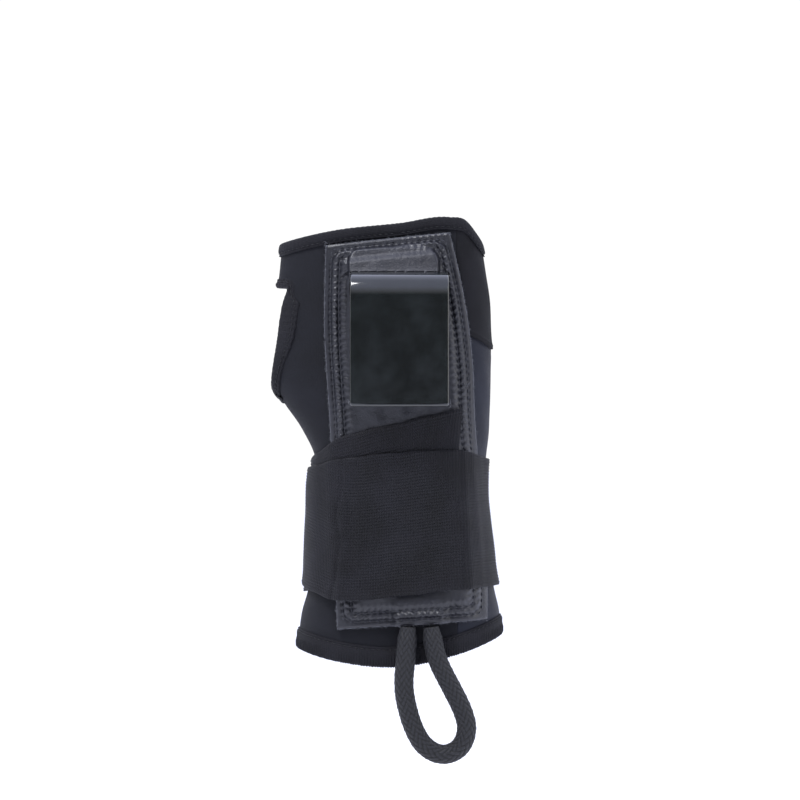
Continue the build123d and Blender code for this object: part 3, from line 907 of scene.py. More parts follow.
def hullRing(z, clear, count=720):
    # the line an elastic takes round sleeve and pocket at one height, by share of its length
    s = np.linspace(0, 1, 500, endpoint=False)
    ring = ringPoint(s, z, clear)[:, :2]
    x = np.linspace(outline("left", z), outline("right", z), 160)
    packet = palmPoint(x, z, 0.0, leatherHeight(x, z) + clear)[:, :2]
    cloud = np.concatenate([ring, packet])
    cloud = cloud[np.lexsort((cloud[:, 1], cloud[:, 0]))]

    def half(points):
        chain = []
        for p in points:
            while len(chain) > 1:
                a, b = chain[-2], chain[-1]
                if (b[0] - a[0]) * (p[1] - a[1]) - (b[1] - a[1]) * (p[0] - a[0]) > 0:
                    break
                chain.pop()
            chain.append(p)
        return chain[:-1]

    hull = np.array(half(cloud) + half(cloud[::-1]))          # anticlockwise seen from above
    closed = np.concatenate([hull, hull[:1]])
    length = lengthAlong(closed)
    fine = pointsAt(np.linspace(0, length[-1], 4001), length, closed)
    front = np.nonzero((fine[:-1, 1] < 0) & (fine[:-1, 0] <= 0) & (fine[1:, 0] > 0))[0][0]
    fine = np.roll(fine[:-1], -front, axis=0)
    return softenLoop(fine[np.arange(count) * 4000 // count], 15, 8)


ringRows = np.arange(20, 131, 3.0)
ringTable = np.array([hullRing(z, 0.12) for z in ringRows])


def onRing(f, z):
    # x, y on the wrapping line; f goes round towards the little finger from the front middle
    f, z = np.broadcast_arrays(np.asarray(f, float), np.asarray(z, float))
    count = ringTable.shape[1]
    row = np.clip((z - ringRows[0]) / (ringRows[1] - ringRows[0]), 0, len(ringRows) - 1.001)
    col = (f % 1.0) * count
    r0, c0 = row.astype(int), col.astype(int) % count
    a, b = (row - r0)[..., None], (col - np.floor(col))[..., None]
    c1 = (c0 + 1) % count
    low = ringTable[r0, c0] * (1 - b) + ringTable[r0, c1] * b
    high = ringTable[r0 + 1, c0] * (1 - b) + ringTable[r0 + 1, c1] * b
    return low * (1 - a) + high * a


def wrapPoint(f, z, out):
    # a point on the strap, out mm outside the wrapping line
    here = onRing(f, z)
    ahead = onRing(f + 0.004, z) - onRing(f - 0.004, z)
    normal = unit(np.stack([ahead[..., 1], -ahead[..., 0]], -1))
    flat = here + normal * np.asarray(out)[..., None]
    return np.concatenate([flat, np.broadcast_to(z, flat.shape[:-1])[..., None]], -1)


def strapPiece(end):
    f = np.linspace(strap["start"], end, 560)
    v = np.linspace(0, 1, strap["rows"])[:, None]
    top, bottom = smoothCurve(f, strap["top"]), smoothCurve(f, strap["bottom"])
    edgeWave = 0.25 * waves(f * turnLength, f * 0, 22, 41)
    z = bottom + (top - bottom) * v + edgeWave * (v - 0.5) * 2
    f = np.broadcast_to(f, z.shape)
    around = f * turnLength
    fromTop = (1 - v) * (top - bottom)
    fromBottom = v * (top - bottom)
    low, high, step = strap["rise"]
    out = step * ramp(-f, -low, -high)
    across = fromBottom / strap["pitch"] + 0.10 * waves(around, z, 30, 42)
    fromEdge = np.minimum(fromTop, fromBottom)
    rib = strap["rib"] * np.cos(2 * math.pi * across) * np.clip(fromEdge, 0, 1)
    selvedge = -0.35 * (1 - np.clip(fromEdge / 1.1, 0, 1)) ** 2
    swell = 0.18 * waves(around * 0.25, z, 21, 43)
    for line in strap["creases"]:
        # shallow upright creases where the strap leaves the pocket
        past = (f - line) * turnLength
        swell = swell - 0.55 * np.exp(-((past + 2.0 * waves(z, z * 0, 25, 44)) / 0.9) ** 2)
        swell = swell + 0.25 * np.exp(-((past - 2.6) / 1.6) ** 2)
    sideways = onRing(f, z)[..., 0]
    loose = 0.5 * ramp(np.abs(sideways), 36, 44) + 1.3 * ramp(sideways, 38, 46) * (0.4 + 0.6 * (1 - v))
    points = wrapPoint(f, z, strap["thick"] + out + rib + selvedge + swell + loose)
    piece = meshFromGrid("wrapStrap", points[:, ::-1], uv=np.stack([around, fromBottom], -1)[:, ::-1])
    thicken(piece, strap["thick"] - 0.25)
    return piece


tries = np.linspace(*strap["endRange"], 400)
miss = np.abs(onRing(tries, strap["middleHeight"])[:, 0] - strap["endX"])
wrapStrap = strapPiece(float(tries[np.argmin(miss)]))
print("strap made", len(wrapStrap.data.vertices))


# Strap closure at the back

tab = {
    "root": -4.0, "length": 38.0, "low": 36.0, "high": 92.0, "lap": 10.0, "corner": 8.0,
}


def tabPoint(x, z, out):
    # the back of the strap over a given x: the wrapping line there, out mm behind it
    f = np.linspace(0.2, 0.8, 500)
    x, z = np.broadcast_arrays(x, z)
    y = np.zeros(x.shape)
    for level in np.unique(z):
        line = wrapPoint(f, np.full_like(f, level), np.full_like(f, 1.0))
        order = np.argsort(line[:, 0])
        here = z == level
        y[here] = np.interp(x[here], line[order, 0], line[order, 1])
    return np.stack([x, y - 1.0 + out, z], -1)


def tabPiece(name, xFrom, xTo, low, high, out, thick, rows=90, columns=120, ribs=True):
    a, b = np.meshgrid(np.linspace(0, 1, columns), np.linspace(0, 1, rows))
    r = tab["corner"]
    x = xFrom + (xTo - xFrom) * a
    far = np.maximum(x - (xTo - r), 0)
    cut = r - np.sqrt(np.maximum(r * r - far * far, 0)) if ribs else 0 * far
    z = (low + cut) + (high - low - 2 * cut) * b
    level = low + (high - low) * b
    points = tabPoint(x, level, out)
    points[..., 2] = z
    if ribs:
        points[..., 1] += strap["rib"] * np.cos(2 * math.pi * (z - low) / strap["pitch"])
    piece = meshFromGrid(name, points[:, ::-1], uv=np.stack([x, z], -1)[:, ::-1])
    thicken(piece, thick)
    return piece


tapes = {
    # inner and outer face, out from the wrapping line
    "loop": (1.5, 2.3), "hook": (2.6, 3.4), "tab": (3.4, 4.9),
    "margin": 4.0,
    "body": 0.35,
}


def addFibres(piece, vertices, faces):
    # the piece's mesh again with fibres on it; cloth directions are dropped, as its finish goes by place
    old = np.zeros(len(piece.data.vertices) * 3)
    piece.data.vertices.foreach_get("co", old)
    base = len(piece.data.vertices)
    kept = [list(f.vertices) for f in piece.data.polygons]
    data = bpy.data.meshes.new(piece.name)
    data.from_pydata(np.concatenate([old.reshape(-1, 3), vertices * mm]).tolist(), [],
                     kept + [[v + base for v in f] for f in faces])
    data.polygons.foreach_set("use_smooth", [True] * len(data.polygons))
    piece.data = data


def tapePiece(name, inside, outside, toBack, pitch, height, radius):
    # woven tape with a bed of fibres on one face
    m = tapes["margin"]
    x0, x1 = tab["root"] + m, tab["root"] + tab["length"] - m
    z0, z1 = tab["low"] + m, tab["high"] - m
    body = tapes["body"]
    bed = inside + body if toBack else outside
    piece = tabPiece(name, x0, x1, z0, z1, bed, body, 40, 40, ribs=False)
    xs, zs = np.meshgrid(np.arange(x0 + 0.6, x1 - 0.5, pitch), np.arange(z0 + 0.6, z1 - 0.5, pitch))
    xs = (xs + rng.uniform(-0.3, 0.3, xs.shape) * pitch).ravel()
    zs = zs.ravel()
    face = tabPoint(xs, zs, bed if toBack else outside - body)
    normals = np.zeros_like(face)
    normals[:, 1] = 1 if toBack else -1
    addFibres(piece, *tuft(face, normals, height, radius, 0.18))
    return piece


tabRoot, tabEnd = tab["root"] - tab["lap"], tab["root"] + tab["length"]
strapTab = tabPiece("strapTab", tabRoot, tabEnd, tab["low"], tab["high"], tapes["tab"][1], strap["thick"])
loopPatch = tapePiece("strapLoopTape", *tapes["loop"], True, 1.0, 0.42, 0.16)
hookPatch = tapePiece("strapHookTape", *tapes["hook"], False, 1.5, 0.44, 0.13)
print("closure made")


# Braided pull loop

def cordLine():
    # points along the cord's own line, from a smooth curve
    curve = bpy.data.curves.new("cordLine", "CURVE")
    curve.dimensions = "3D"
    spline = curve.splines.new("NURBS")
    spline.points.add(len(cordPiece["route"]) - 1)
    for point, (x, z) in zip(spline.points, cordPiece["route"]):
        point.co = (x * mm, cordPiece["plane"] * mm, z * mm, 1)
    spline.order_u = 3
    spline.use_endpoint_u = True
    spline.resolution_u = 24
    holder = bpy.data.objects.new("cordLine", curve)
    data = bpy.data.meshes.new_from_object(holder)
    points = np.array([v.co[:] for v in data.vertices]) / mm
    bpy.data.objects.remove(holder)
    bpy.data.curves.remove(curve)
    bpy.data.meshes.remove(data)
    length = lengthAlong(points)
    return pointsAt(np.linspace(0, length[-1], 520), length, points), length[-1]


def yarnCrown(t):
    # a yarn's rounded top, over one place across it
    return np.sqrt(np.clip(1 - (2 * (t - np.floor(t)) - 1) ** 2 * 0.96, 0, 1))


def braidHeight(around, along):
    # 0 to 1: herringbone of crossing strands, each over two and under two
    n = cordPiece["carriers"] / 2
    a = n * around / (2 * math.pi) + along / cordPiece["lay"]
    b = n * around / (2 * math.pi) - along / cordPiece["lay"]
    over = np.mod(np.floor(a) + np.floor(b), 4) < 2
    tipA = 0.78 + 0.22 * np.sin(math.pi * (b - np.floor(b)))
    tipB = 0.78 + 0.22 * np.sin(math.pi * (a - np.floor(a)))
    return np.where(over, yarnCrown(a) * tipA, yarnCrown(b) * tipB)


def cordMesh():
    line, length = cordLine()
    sides, relief = cordPiece["sides"], cordPiece["relief"]
    front = np.array([0.0, -1.0, 0.0])
    across = unit(np.cross(unit(np.gradient(line, axis=0)), front))
    turn = np.linspace(0, 2 * math.pi, sides, endpoint=False)[:, None]
    run = np.linspace(0, length, len(line))[None, :]
    height = braidHeight(turn, run)
    radius = cordPiece["diameter"] / 2 - relief + relief * 1.25 * height
    radius = radius + 0.10 * waves(run, turn * 2.0, 15, 61)
    radius = radius * (0.80 + 0.20 * ramp(np.minimum(run, length - run), 0, 6))    # pressed where it is sewn in
    way = np.cos(turn)[..., None] * across[None] + np.sin(turn)[..., None] * front
    points = line[None] + radius[..., None] * way
    arc = turn[1, 0] * cordPiece["diameter"] / 2
    step = length / (len(line) - 1)
    uv = np.stack(np.meshgrid(np.arange(sides) * arc, np.arange(len(line)) * step), -1)
    piece = meshFromGrid("pullLoop", points.transpose(1, 0, 2), closed=True, uv=uv)
    # the braid's height, kept on the mesh for the material's painted highlight on the crowns and painted shade
    # in the crossings
    crown = piece.data.attributes.new("crown", "FLOAT", "POINT")
    crown.data.foreach_set("value", height.T.astype(np.float32).ravel())
    closeEnds(piece)
    return piece, line, length


pullLoop, loopLine, loopLength = cordMesh()
print("cord made, length", round(loopLength, 1))


# Materials. Patterns are scaled in mm: on cloth by its own directions, elsewhere by place

mmPerMetre = (1000.0, 1000.0, 1000.0)
waveBand = 0.314        # mm between bands of a wave texture at scale 1

knits = {
    # nylon jersey laminated to neoprene: even dull black with a faint blue fuzz, loops hardly seen
    "laminatedNylonJersey": {"dark": "#121318", "light": "#18191f", "fleckAndGlint": "#2e313b", "pitch": 0.55,
                             "rough": 0.74, "sheen": 0.035, "depth": 0.11},
    # the same jersey from another roll: a shade blacker and duller
    "handSideNylonJersey": {"dark": "#0e0e12", "light": "#141419", "fleckAndGlint": "#26272f", "pitch": 0.55,
                            "rough": 0.78, "sheen": 0.03, "depth": 0.11},
    # tight warp-knitted stretch cloth: smoother and bluer, with a soft shine
    "smoothStretchKnit": {"dark": "#151721", "light": "#1d202b", "fleckAndGlint": "#303444", "pitch": 0.40,
                          "rough": 0.58, "sheen": 0.06, "depth": 0.05},
    # knitted tape folded over the edges: coarser loops, a little lighter than the sleeve
    "foldedBindingKnit": {"dark": "#151519", "light": "#1d1d22", "fleckAndGlint": "#34353e", "pitch": 0.80,
                          "rough": 0.76, "sheen": 0.04, "depth": 0.16},
    # elastic woven over rubber cords: a square grid at the ribs' own pitch, with grey flecks painted in as
    # glints where yarns catch light
    "wovenRibbedElastic": {"dark": "#121215", "light": "#1a1a1f", "fleckAndGlint": "#474954", "pitch": strap["pitch"],
                           "rough": 0.62, "sheen": 0.07, "depth": 0.42, "wander": 0.12, "grainy": 0.25},
}

# Single filaments are about 0.03 mm and would not show: streaks are drawn about ten times as coarse
yarns = {
    # polyurethane foam cut to a slab: dull dark grey, open cells
    "openCellFoam": {"dark": "#2a2a2e", "light": "#3c3c42", "perMm": 1.4, "rough": 0.9, "sheen": 0.0},
    # plain-woven polyester: dull, near black
    "wovenBackingCloth": {"dark": "#16161a", "light": "#22222a", "perMm": 1.1, "rough": 0.85, "sheen": 0.1},
    # the cord's ends pressed flat: dark filaments side by side
    "flattenedBraidEnds": {"dark": "#0d0d10", "light": "#1d1d23", "perMm": 3.2, "rough": 0.66, "sheen": 0.05},
    # brushed nylon loops: a soft fuzz with no shine
    "nappedLoopTape": {"dark": "#18181c", "light": "#2a2a30", "perMm": 2.0, "rough": 0.9, "sheen": 0.35},
    # moulded nylon hooks: hard and a little shiny
    "mouldedNylonHookTape": {"dark": "#101013", "light": "#1c1c20", "perMm": 1.2, "rough": 0.45, "sheen": 0.0},
    # waxed polyester thread: black on black, seen only by its low shine
    "waxedBlackThread": {"dark": "#111114", "light": "#212126", "perMm": 4.0, "rough": 0.55, "sheen": 0.05},
    # twisted and bonded nylon thread: greyer, so each stitch shows on the leather
    "bondedNylonThread": {"dark": "#23242a", "light": "#3d3f47", "perMm": 4.0, "rough": 0.5, "sheen": 0.1},
    # fibres torn up by the knife: pale dull grey
    "cutLeatherFibres": {"dark": "#4a4c52", "light": "#8a8c92", "perMm": 2.5, "rough": 0.8, "sheen": 0.1},
    # the uncoated inside of the split: mottled grey
    "rawSplitLeatherEdge": {"dark": "#26272c", "light": "#64666e", "perMm": 1.6, "rough": 0.85, "sheen": 0.1},
}


def knitCloth(name, spec):
    # knitted or woven face: two crossed waves for the loops, fibre fuzz as sheen, lighter flecks on the grain
    # (fuzz on the knits, painted glints on the elastic), cloudy tone from handling
    made, tree = newMaterial(name)
    wander, pitch, rough = spec.get("wander", 0.8), spec["pitch"], spec["rough"]
    place = addNode(tree, "ShaderNodeUVMap", {"uv_map": "mmUV"}).outputs["UV"]
    bend = addNode(tree, "ShaderNodeTexNoise", {"Scale": 0.35, "Detail": 2.0}, {"Vector": place})
    warped = addNode(tree, "ShaderNodeVectorMath", {"operation": "MULTIPLY_ADD", 1: (wander, wander, 0.0)},
                     {0: bend.outputs["Color"], 2: place})
    rows = addNode(tree, "ShaderNodeTexWave",
                   {"wave_type": "BANDS", "bands_direction": "Y", "Scale": waveBand / pitch, "Distortion": 0.6,
                    "Detail": 1.0, "Detail Scale": 1.5}, {"Vector": warped.outputs["Vector"]})
    wales = addNode(tree, "ShaderNodeTexWave",
                    {"wave_type": "BANDS", "bands_direction": "X", "Scale": waveBand / (pitch * 0.9),
                     "Distortion": 0.4, "Detail": 1.0, "Detail Scale": 1.5},
                    {"Vector": warped.outputs["Vector"]})
    loops = addNode(tree, "ShaderNodeMath", {"operation": "MULTIPLY"},
                    {0: rows.outputs["Fac"], 1: wales.outputs["Fac"]})
    grain = addNode(tree, "ShaderNodeTexNoise", {"Scale": 2.6, "Detail": 5.0, "Roughness": 0.7},
                    {"Vector": place})
    cloud = addNode(tree, "ShaderNodeTexNoise", {"Scale": 0.045, "Detail": 3.0}, {"Vector": place})
    patches = addNode(tree, "ShaderNodeMapRange", {"From Min": 0.35, "From Max": 0.65},
                      {"Value": cloud.outputs["Fac"]})
    tone = addNode(tree, "ShaderNodeValToRGB", {"ramp": (spec["dark"], spec["light"])},
                   {"Fac": patches.outputs["Result"]})
    # lighter flecks in the colour where the grain is high: fibre fuzz on the knits, and on the elastic a
    # painted highlight standing for glints on the yarns
    speckAndGlint = addNode(tree, "ShaderNodeMapRange", {"From Min": 0.56, "From Max": 0.74, "To Max": 0.55},
                    {"Value": grain.outputs["Fac"]})
    colour = addNode(tree, "ShaderNodeMix", {"data_type": "RGBA", 7: hexColour(spec["fleckAndGlint"])},
                     {0: speckAndGlint.outputs["Result"], 6: tone.outputs["Color"]})
    fuzz = addNode(tree, "ShaderNodeBump", {"Distance": spec["depth"] * spec.get("grainy", 0.8) * mm},
                   {"Height": grain.outputs["Fac"]})
    knit = addNode(tree, "ShaderNodeBump", {"Distance": spec["depth"] * mm},
                   {"Height": loops.outputs["Value"], "Normal": fuzz.outputs["Normal"]})
    dull = addNode(tree, "ShaderNodeMapRange",
                   {"From Min": 0.3, "From Max": 0.7, "To Min": rough - 0.08, "To Max": rough + 0.08},
                   {"Value": grain.outputs["Fac"]})
    shader = addNode(tree, "ShaderNodeBsdfPrincipled",
                     {"Specular IOR Level": 0.22, "Sheen Weight": spec["sheen"], "Sheen Roughness": 0.45,
                      "Sheen Tint": hexColour(spec["fleckAndGlint"])},
                     {"Base Color": colour.outputs[2], "Normal": knit.outputs["Normal"],
                      "Roughness": dull.outputs["Result"]})
    finishMaterial(tree, shader)
    return made


def streakedYarn(name, spec):
    # small or hidden pieces: streaks of lighter and darker stuff with a fine bump
    made, tree = newMaterial(name)
    spot = addNode(tree, "ShaderNodeTexCoord")
    place = addNode(tree, "ShaderNodeMapping", {"Scale": mmPerMetre}, {"Vector": spot.outputs["Object"]})
    streak = addNode(tree, "ShaderNodeTexNoise", {"Scale": spec["perMm"], "Detail": 4.0, "Roughness": 0.7},
                     {"Vector": place.outputs["Vector"]})
    share = addNode(tree, "ShaderNodeMapRange", {"From Min": 0.32, "From Max": 0.7},
                    {"Value": streak.outputs["Fac"]})
    tone = addNode(tree, "ShaderNodeValToRGB", {"ramp": (spec["dark"], spec["light"])},
                   {"Fac": share.outputs["Result"]})
    fibre = addNode(tree, "ShaderNodeBump", {"Distance": 0.07 * mm}, {"Height": streak.outputs["Fac"]})
    shader = addNode(tree, "ShaderNodeBsdfPrincipled",
                     {"Roughness": spec["rough"], "Specular IOR Level": 0.35, "Sheen Weight": spec["sheen"],
                      "Sheen Roughness": 0.4},
                     {"Base Color": tone.outputs["Color"], "Normal": fibre.outputs["Normal"]})
    finishMaterial(tree, shader)
    return made


def leatherCloth(name):
    # coated split leather: a fine pebbled grain with a waxy shine that goes blue-grey in the light
    made, tree = newMaterial(name)
    place = addNode(tree, "ShaderNodeUVMap", {"uv_map": "mmUV"}).outputs["UV"]
    pebble = addNode(tree, "ShaderNodeTexVoronoi", {"feature": "DISTANCE_TO_EDGE", "Scale": 1.15},
                     {"Vector": place})
    grain = addNode(tree, "ShaderNodeTexNoise", {"Scale": 1.7, "Detail": 6.0, "Roughness": 0.62},
                    {"Vector": place})
    broad = addNode(tree, "ShaderNodeTexNoise", {"Scale": 0.11, "Detail": 4.0, "Roughness": 0.6},
                    {"Vector": place})
    patches = addNode(tree, "ShaderNodeMapRange", {"From Min": 0.32, "From Max": 0.68},
                      {"Value": broad.outputs["Fac"]})
    tone = addNode(tree, "ShaderNodeValToRGB", {"ramp": ("#0b0c10", "#14151b")},
                   {"Fac": patches.outputs["Result"]})
    wrinkle = addNode(tree, "ShaderNodeBump", {"Distance": 0.7 * mm}, {"Height": broad.outputs["Fac"]})
    uneven = addNode(tree, "ShaderNodeBump", {"Distance": 0.10 * mm},
                     {"Height": grain.outputs["Fac"], "Normal": wrinkle.outputs["Normal"]})
    groove = addNode(tree, "ShaderNodeMapRange", {"From Min": 0.0, "From Max": 0.18},
                     {"Value": pebble.outputs["Distance"]})
    cells = addNode(tree, "ShaderNodeBump", {"Distance": 0.045 * mm},
                    {"Height": groove.outputs["Result"], "Normal": uneven.outputs["Normal"]})
    dull = addNode(tree, "ShaderNodeMapRange",
                   {"From Min": 0.3, "From Max": 0.75, "To Min": 0.34, "To Max": 0.52},
                   {"Value": grain.outputs["Fac"]})
    shader = addNode(tree, "ShaderNodeBsdfPrincipled",
                     {"Specular IOR Level": 0.50, "Coat Weight": 0.25, "Coat Roughness": 0.24,
                      "Coat Tint": hexColour("#dfe4ff")},
                     {"Base Color": tone.outputs["Color"], "Normal": cells.outputs["Normal"],
                      "Roughness": dull.outputs["Result"]})
    finishMaterial(tree, shader)
    return made


def glossLacquer(name):
    # baked black lacquer on steel strip: near mirror, with faint finger marks and dust in the film
    made, tree = newMaterial(name)
    spot = addNode(tree, "ShaderNodeTexCoord")
    place = addNode(tree, "ShaderNodeMapping", {"Scale": mmPerMetre}, {"Vector": spot.outputs["Object"]})
    smear = addNode(tree, "ShaderNodeTexNoise", {"Scale": 0.09, "Detail": 5.0, "Roughness": 0.65},
                    {"Vector": place.outputs["Vector"]})
    dust = addNode(tree, "ShaderNodeTexNoise", {"Scale": 2.2, "Detail": 3.0},
                   {"Vector": place.outputs["Vector"]})
    patches = addNode(tree, "ShaderNodeMapRange", {"From Min": 0.4, "From Max": 0.7},
                      {"Value": smear.outputs["Fac"]})
    tone = addNode(tree, "ShaderNodeValToRGB", {"ramp": ("#0a0f10", "#121819")},
                   {"Fac": patches.outputs["Result"]})
    wave = addNode(tree, "ShaderNodeBump", {"Distance": 0.012 * mm}, {"Height": smear.outputs["Fac"]})
    skin = addNode(tree, "ShaderNodeBump", {"Distance": 0.0012 * mm},
                   {"Height": dust.outputs["Fac"], "Normal": wave.outputs["Normal"]})
    dull = addNode(tree, "ShaderNodeMapRange",
                   {"From Min": 0.35, "From Max": 0.7, "To Min": 0.09, "To Max": 0.17},
                   {"Value": smear.outputs["Fac"]})
    shader = addNode(tree, "ShaderNodeBsdfPrincipled",
                     {"Specular IOR Level": 0.5, "Coat Weight": 0.8, "Coat Roughness": 0.04},
                     {"Base Color": tone.outputs["Color"], "Normal": skin.outputs["Normal"],
                      "Roughness": dull.outputs["Result"]})
    finishMaterial(tree, shader)
    return made


def brushedStay(name):
    # rolled aluminium strip: pale metal with a lengthwise grain
    made, tree = newMaterial(name)
    spot = addNode(tree, "ShaderNodeTexCoord")
    place = addNode(tree, "ShaderNodeMapping", {"Scale": mmPerMetre}, {"Vector": spot.outputs["Object"]})
    drawn = addNode(tree, "ShaderNodeMapping", {"Scale": (3.0, 3.0, 0.05)},
                    {"Vector": place.outputs["Vector"]})
    line = addNode(tree, "ShaderNodeTexNoise", {"Scale": 1.0, "Detail": 4.0},
                   {"Vector": drawn.outputs["Vector"]})
    tone = addNode(tree, "ShaderNodeValToRGB", {"ramp": ("#a9adb2", "#d4d6d8")}, {"Fac": line.outputs["Fac"]})
    grain = addNode(tree, "ShaderNodeBump", {"Distance": 0.02 * mm}, {"Height": line.outputs["Fac"]})
    dull = addNode(tree, "ShaderNodeMapRange",
                   {"From Min": 0.3, "From Max": 0.7, "To Min": 0.28, "To Max": 0.42},
                   {"Value": line.outputs["Fac"]})
    shader = addNode(tree, "ShaderNodeBsdfPrincipled", {"Metallic": 1.0},
                     {"Base Color": tone.outputs["Color"], "Normal": grain.outputs["Normal"],
                      "Roughness": dull.outputs["Result"]})
    finishMaterial(tree, shader)
    return made


def braidMaterial(name):
    # polyester yarns laid in a herringbone: painted highlight on the yarns' crowns and painted shade in the
    # crossings, fine filaments along the cord
    made, tree = newMaterial(name)
    place = addNode(tree, "ShaderNodeUVMap", {"uv_map": "mmUV"})
    crown = addNode(tree, "ShaderNodeAttribute", {"attribute_name": "crown"})
    streak = addNode(tree, "ShaderNodeTexNoise", {"Scale": 3.4, "Detail": 4.0, "Roughness": 0.7},
                     {"Vector": place.outputs["UV"]})
    # painted light: the braid's height sets the colour, light on the crowns as painted highlight, dark in the
    # crossings as painted shade
    share = addNode(tree, "ShaderNodeMapRange", {"From Min": 0.35}, {"Value": crown.outputs["Fac"]})
    tone = addNode(tree, "ShaderNodeValToRGB", {"ramp": ("#050506", "#1f2025")},
                   {"Fac": share.outputs["Result"]})
    fibre = addNode(tree, "ShaderNodeBump", {"Distance": 0.10 * mm}, {"Height": streak.outputs["Fac"]})
    dull = addNode(tree, "ShaderNodeMapRange",
                   {"From Min": 0.3, "From Max": 0.7, "To Min": 0.45, "To Max": 0.65},
                   {"Value": streak.outputs["Fac"]})
    shader = addNode(tree, "ShaderNodeBsdfPrincipled",
                     {"Specular IOR Level": 0.4, "Sheen Weight": 0.05, "Sheen Roughness": 0.4},
                     {"Base Color": tone.outputs["Color"], "Normal": fibre.outputs["Normal"],
                      "Roughness": dull.outputs["Result"]})
    finishMaterial(tree, shader)
    return made


def paintedBoard(name):
    # matte painted board: an even pale floor
    made, tree = newMaterial(name)
    spot = addNode(tree, "ShaderNodeTexCoord")
    place = addNode(tree, "ShaderNodeMapping", {"Scale": mmPerMetre}, {"Vector": spot.outputs["Object"]})
    grain = addNode(tree, "ShaderNodeTexNoise", {"Scale": 0.4, "Detail": 4.0},
                    {"Vector": place.outputs["Vector"]})
    tone = addNode(tree, "ShaderNodeValToRGB", {"ramp": ("#f4f4f4", "#f8f8f8")},
                   {"Fac": grain.outputs["Fac"]})
    shader = addNode(tree, "ShaderNodeBsdfPrincipled", {"Roughness": 0.8, "Specular IOR Level": 0.2},
                     {"Base Color": tone.outputs["Color"]})
    finishMaterial(tree, shader)
    return made


finishes = {name: knitCloth(name, spec) for name, spec in knits.items()}
finishes.update({name: streakedYarn(name, spec) for name, spec in yarns.items()})
for name, maker in (
    ("waxCoatedSplitLeather", leatherCloth), ("bakedBlackLacquer", glossLacquer),
    ("rolledAluminiumStay", brushedStay), ("braidedPolyesterYarn", braidMaterial),
    ("matteWhiteBoard", paintedBoard),
):
    finishes[name] = maker(name)
print("materials made", len(finishes))


def paint(piece, finish):
    piece.data.materials.clear()
    piece.data.materials.append(finishes[finish])


def paintCutEdge(piece, finish):
    # the leather's raw border shows its lighter inside, here and there
    piece.data.materials.append(finishes[finish])
    centre = np.zeros(len(piece.data.polygons) * 3)
    piece.data.polygons.foreach_get("center", centre)
    centre = centre.reshape(-1, 3) / mm
    away = edgeDistance(centre[:, 0], centre[:, 2])[0]
    worn = away < 0.30 + 0.22 * waves(centre[:, 0], centre[:, 2], 5, 71)
    piece.data.polygons.foreach_set("material_index", worn.astype(np.int32))


for piece, finish in (
    (palmPanel, "laminatedNylonJersey"), (backPanel, "laminatedNylonJersey"),
    (handSide, "handSideNylonJersey"), (gusset, "smoothStretchKnit"),
    (forearmBinding, "foldedBindingKnit"), (handBinding, "foldedBindingKnit"),
    (thumbBinding, "foldedBindingKnit"), (leather, "waxCoatedSplitLeather"),
    (foam, "openCellFoam"), (backing, "wovenBackingCloth"), (pocketThread, "bondedNylonThread"),
    (edgeFibres, "cutLeatherFibres"), (bindingThread, "waxedBlackThread"),
    (hookPlate, "bakedBlackLacquer"), (wrapStrap, "wovenRibbedElastic"), (strapTab, "wovenRibbedElastic"),
    (loopPatch, "nappedLoopTape"), (hookPatch, "mouldedNylonHookTape"), (pullLoop, "braidedPolyesterYarn"),
    (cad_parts["inner_stay"], "rolledAluminiumStay"),
    (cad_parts["loop_anchor"], "flattenedBraidEnds"),
):
    paint(piece, finish)
paintCutEdge(leather, "rawSplitLeatherEdge")


# What each piece stands for, and how it moves

for piece, node, slot in (
    (palmPanel, "sleeve_palm_panel", "neoprene"), (backPanel, "sleeve_back_panel", "neoprene"),
    (handSide, "hand_side_panel", "neoprene"), (gusset, "side_gusset", "stretch_panel"),
    (forearmBinding, "forearm_binding", "binding"), (handBinding, "hand_binding", "binding"),
    (thumbBinding, "thumb_binding", "binding"), (leather, "pocket_leather", "leather_cloth"),
    (foam, "pocket_foam", "foam"), (backing, "pocket_backing", "backing_cloth"),
    (hookPlate, "palm_hook", "hook_lacquer"), (wrapStrap, "wrap_strap", "elastic"),
    (strapTab, "strap_end_tab", "elastic"), (loopPatch, "strap_loop_patch", "loop_tape"),
    (hookPatch, "strap_hook_patch", "hook_tape"), (pullLoop, "pull_loop", "braid"),
):
    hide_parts(node)
    if piece is strapTab:
        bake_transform(piece)
    elif piece is hookPatch:
        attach(piece, "strap_tab")
    elif piece is pullLoop:
        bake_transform(piece)
    else:
        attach(piece, "brace")
for piece, slot in (
    (pocketThread, "leather_cloth"), (edgeFibres, "leather_cloth"), (bindingThread, "binding"),
):
    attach(piece, "brace")

# Floor, light and world

def areaLight(name, place, target, size, power):
    data = bpy.data.lights.new(name, "AREA")
    data.shape = "RECTANGLE"
    data.size, data.size_y = size
    data.energy = power
    made = bpy.data.objects.new(name, data)
    bpy.context.collection.objects.link(made)
    made.location = place
    way = Vector(target) - Vector(place)
    made.rotation_euler = way.to_track_quat("-Z", "Y").to_euler()
    return made


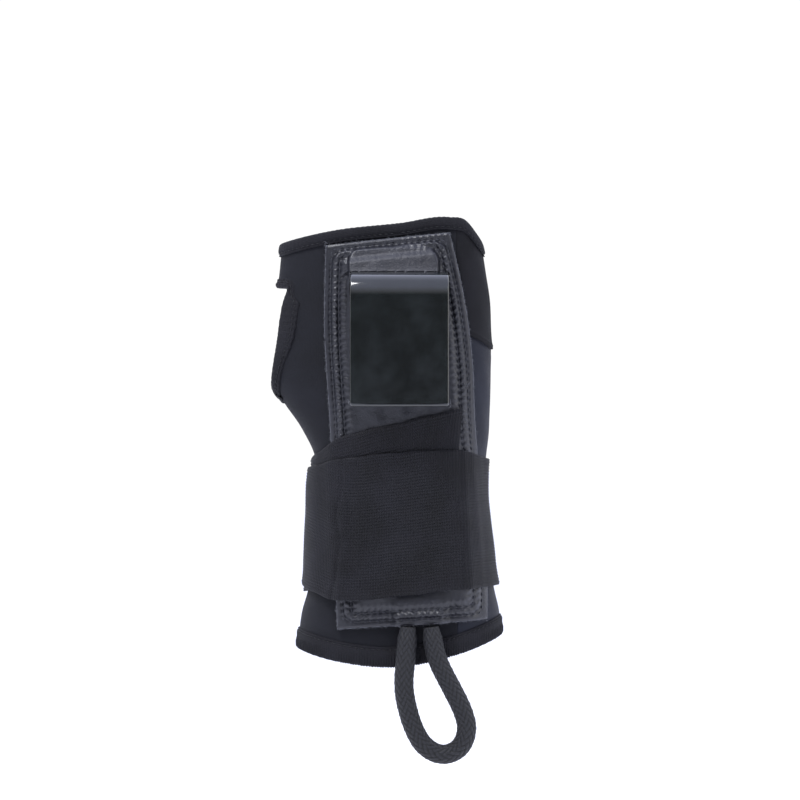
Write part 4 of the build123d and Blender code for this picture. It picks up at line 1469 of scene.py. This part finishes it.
studio = {
    "front": 0.12, "back": 1.05, "ceiling": 1.25,      # how bright the world is that way
    "key": 13, "side": 4,                              # watts
    "aim": (0, 0, 0.12),
    "floorHalf": 8000, "floorHeight": -85,             # mm
}


def makeStage():
    half, height = studio["floorHalf"], studio["floorHeight"]
    corners = [(-half, -half, height), (half, -half, height), (half, half, height), (-half, half, height)]
    floor = addMesh("floor", corners, [(0, 1, 2, 3)], smooth=False)
    paint(floor, "matteWhiteBoard")
    world = bpy.data.worlds.new("studio")
    bpy.context.scene.world = world
    world.use_nodes = True
    tree = world.node_tree
    tree.nodes.clear()
    # white all round the back, a wide soft ceiling, dimmer towards -Y so that glossy faces stay dark
    way = addNode(tree, "ShaderNodeTexCoord")
    parts = addNode(tree, "ShaderNodeSeparateXYZ", links={"Vector": way.outputs["Generated"]})
    behind = addNode(tree, "ShaderNodeMapRange", {"From Min": -0.15, "From Max": 0.75,
                     "To Min": studio["front"], "To Max": studio["back"]}, {"Value": parts.outputs["Y"]})
    above = addNode(tree, "ShaderNodeMapRange",
                    {"From Min": 0.12, "From Max": 0.70, "To Max": studio["ceiling"]},
                    {"Value": parts.outputs["Z"]})
    total = addNode(tree, "ShaderNodeMath", {"operation": "ADD"},
                    {0: behind.outputs["Result"], 1: above.outputs["Result"]})
    share = addNode(tree, "ShaderNodeMapRange", {"From Min": 0.1, "From Max": 0.7},
                    {"Value": parts.outputs["Z"]})
    tint = addNode(tree, "ShaderNodeValToRGB", {"ramp": ("#ffffff", "#dfe4ff")},
                   {"Fac": share.outputs["Result"]})
    paper = addNode(tree, "ShaderNodeBackground",
                    links={"Color": tint.outputs["Color"], "Strength": total.outputs["Value"]})
    addNode(tree, "ShaderNodeOutputWorld", links={"Surface": paper.outputs["Background"]})
    bpy.context.scene.view_settings.view_transform = "Standard"
    key = areaLight("softboxAbove", (-0.45, -0.55, 1.2), studio["aim"], (0.5, 0.35), studio["key"])
    side = areaLight("softboxRight", (1.2, -0.35, 0.45), studio["aim"], (0.4, 1.0), studio["side"])


makeStage()
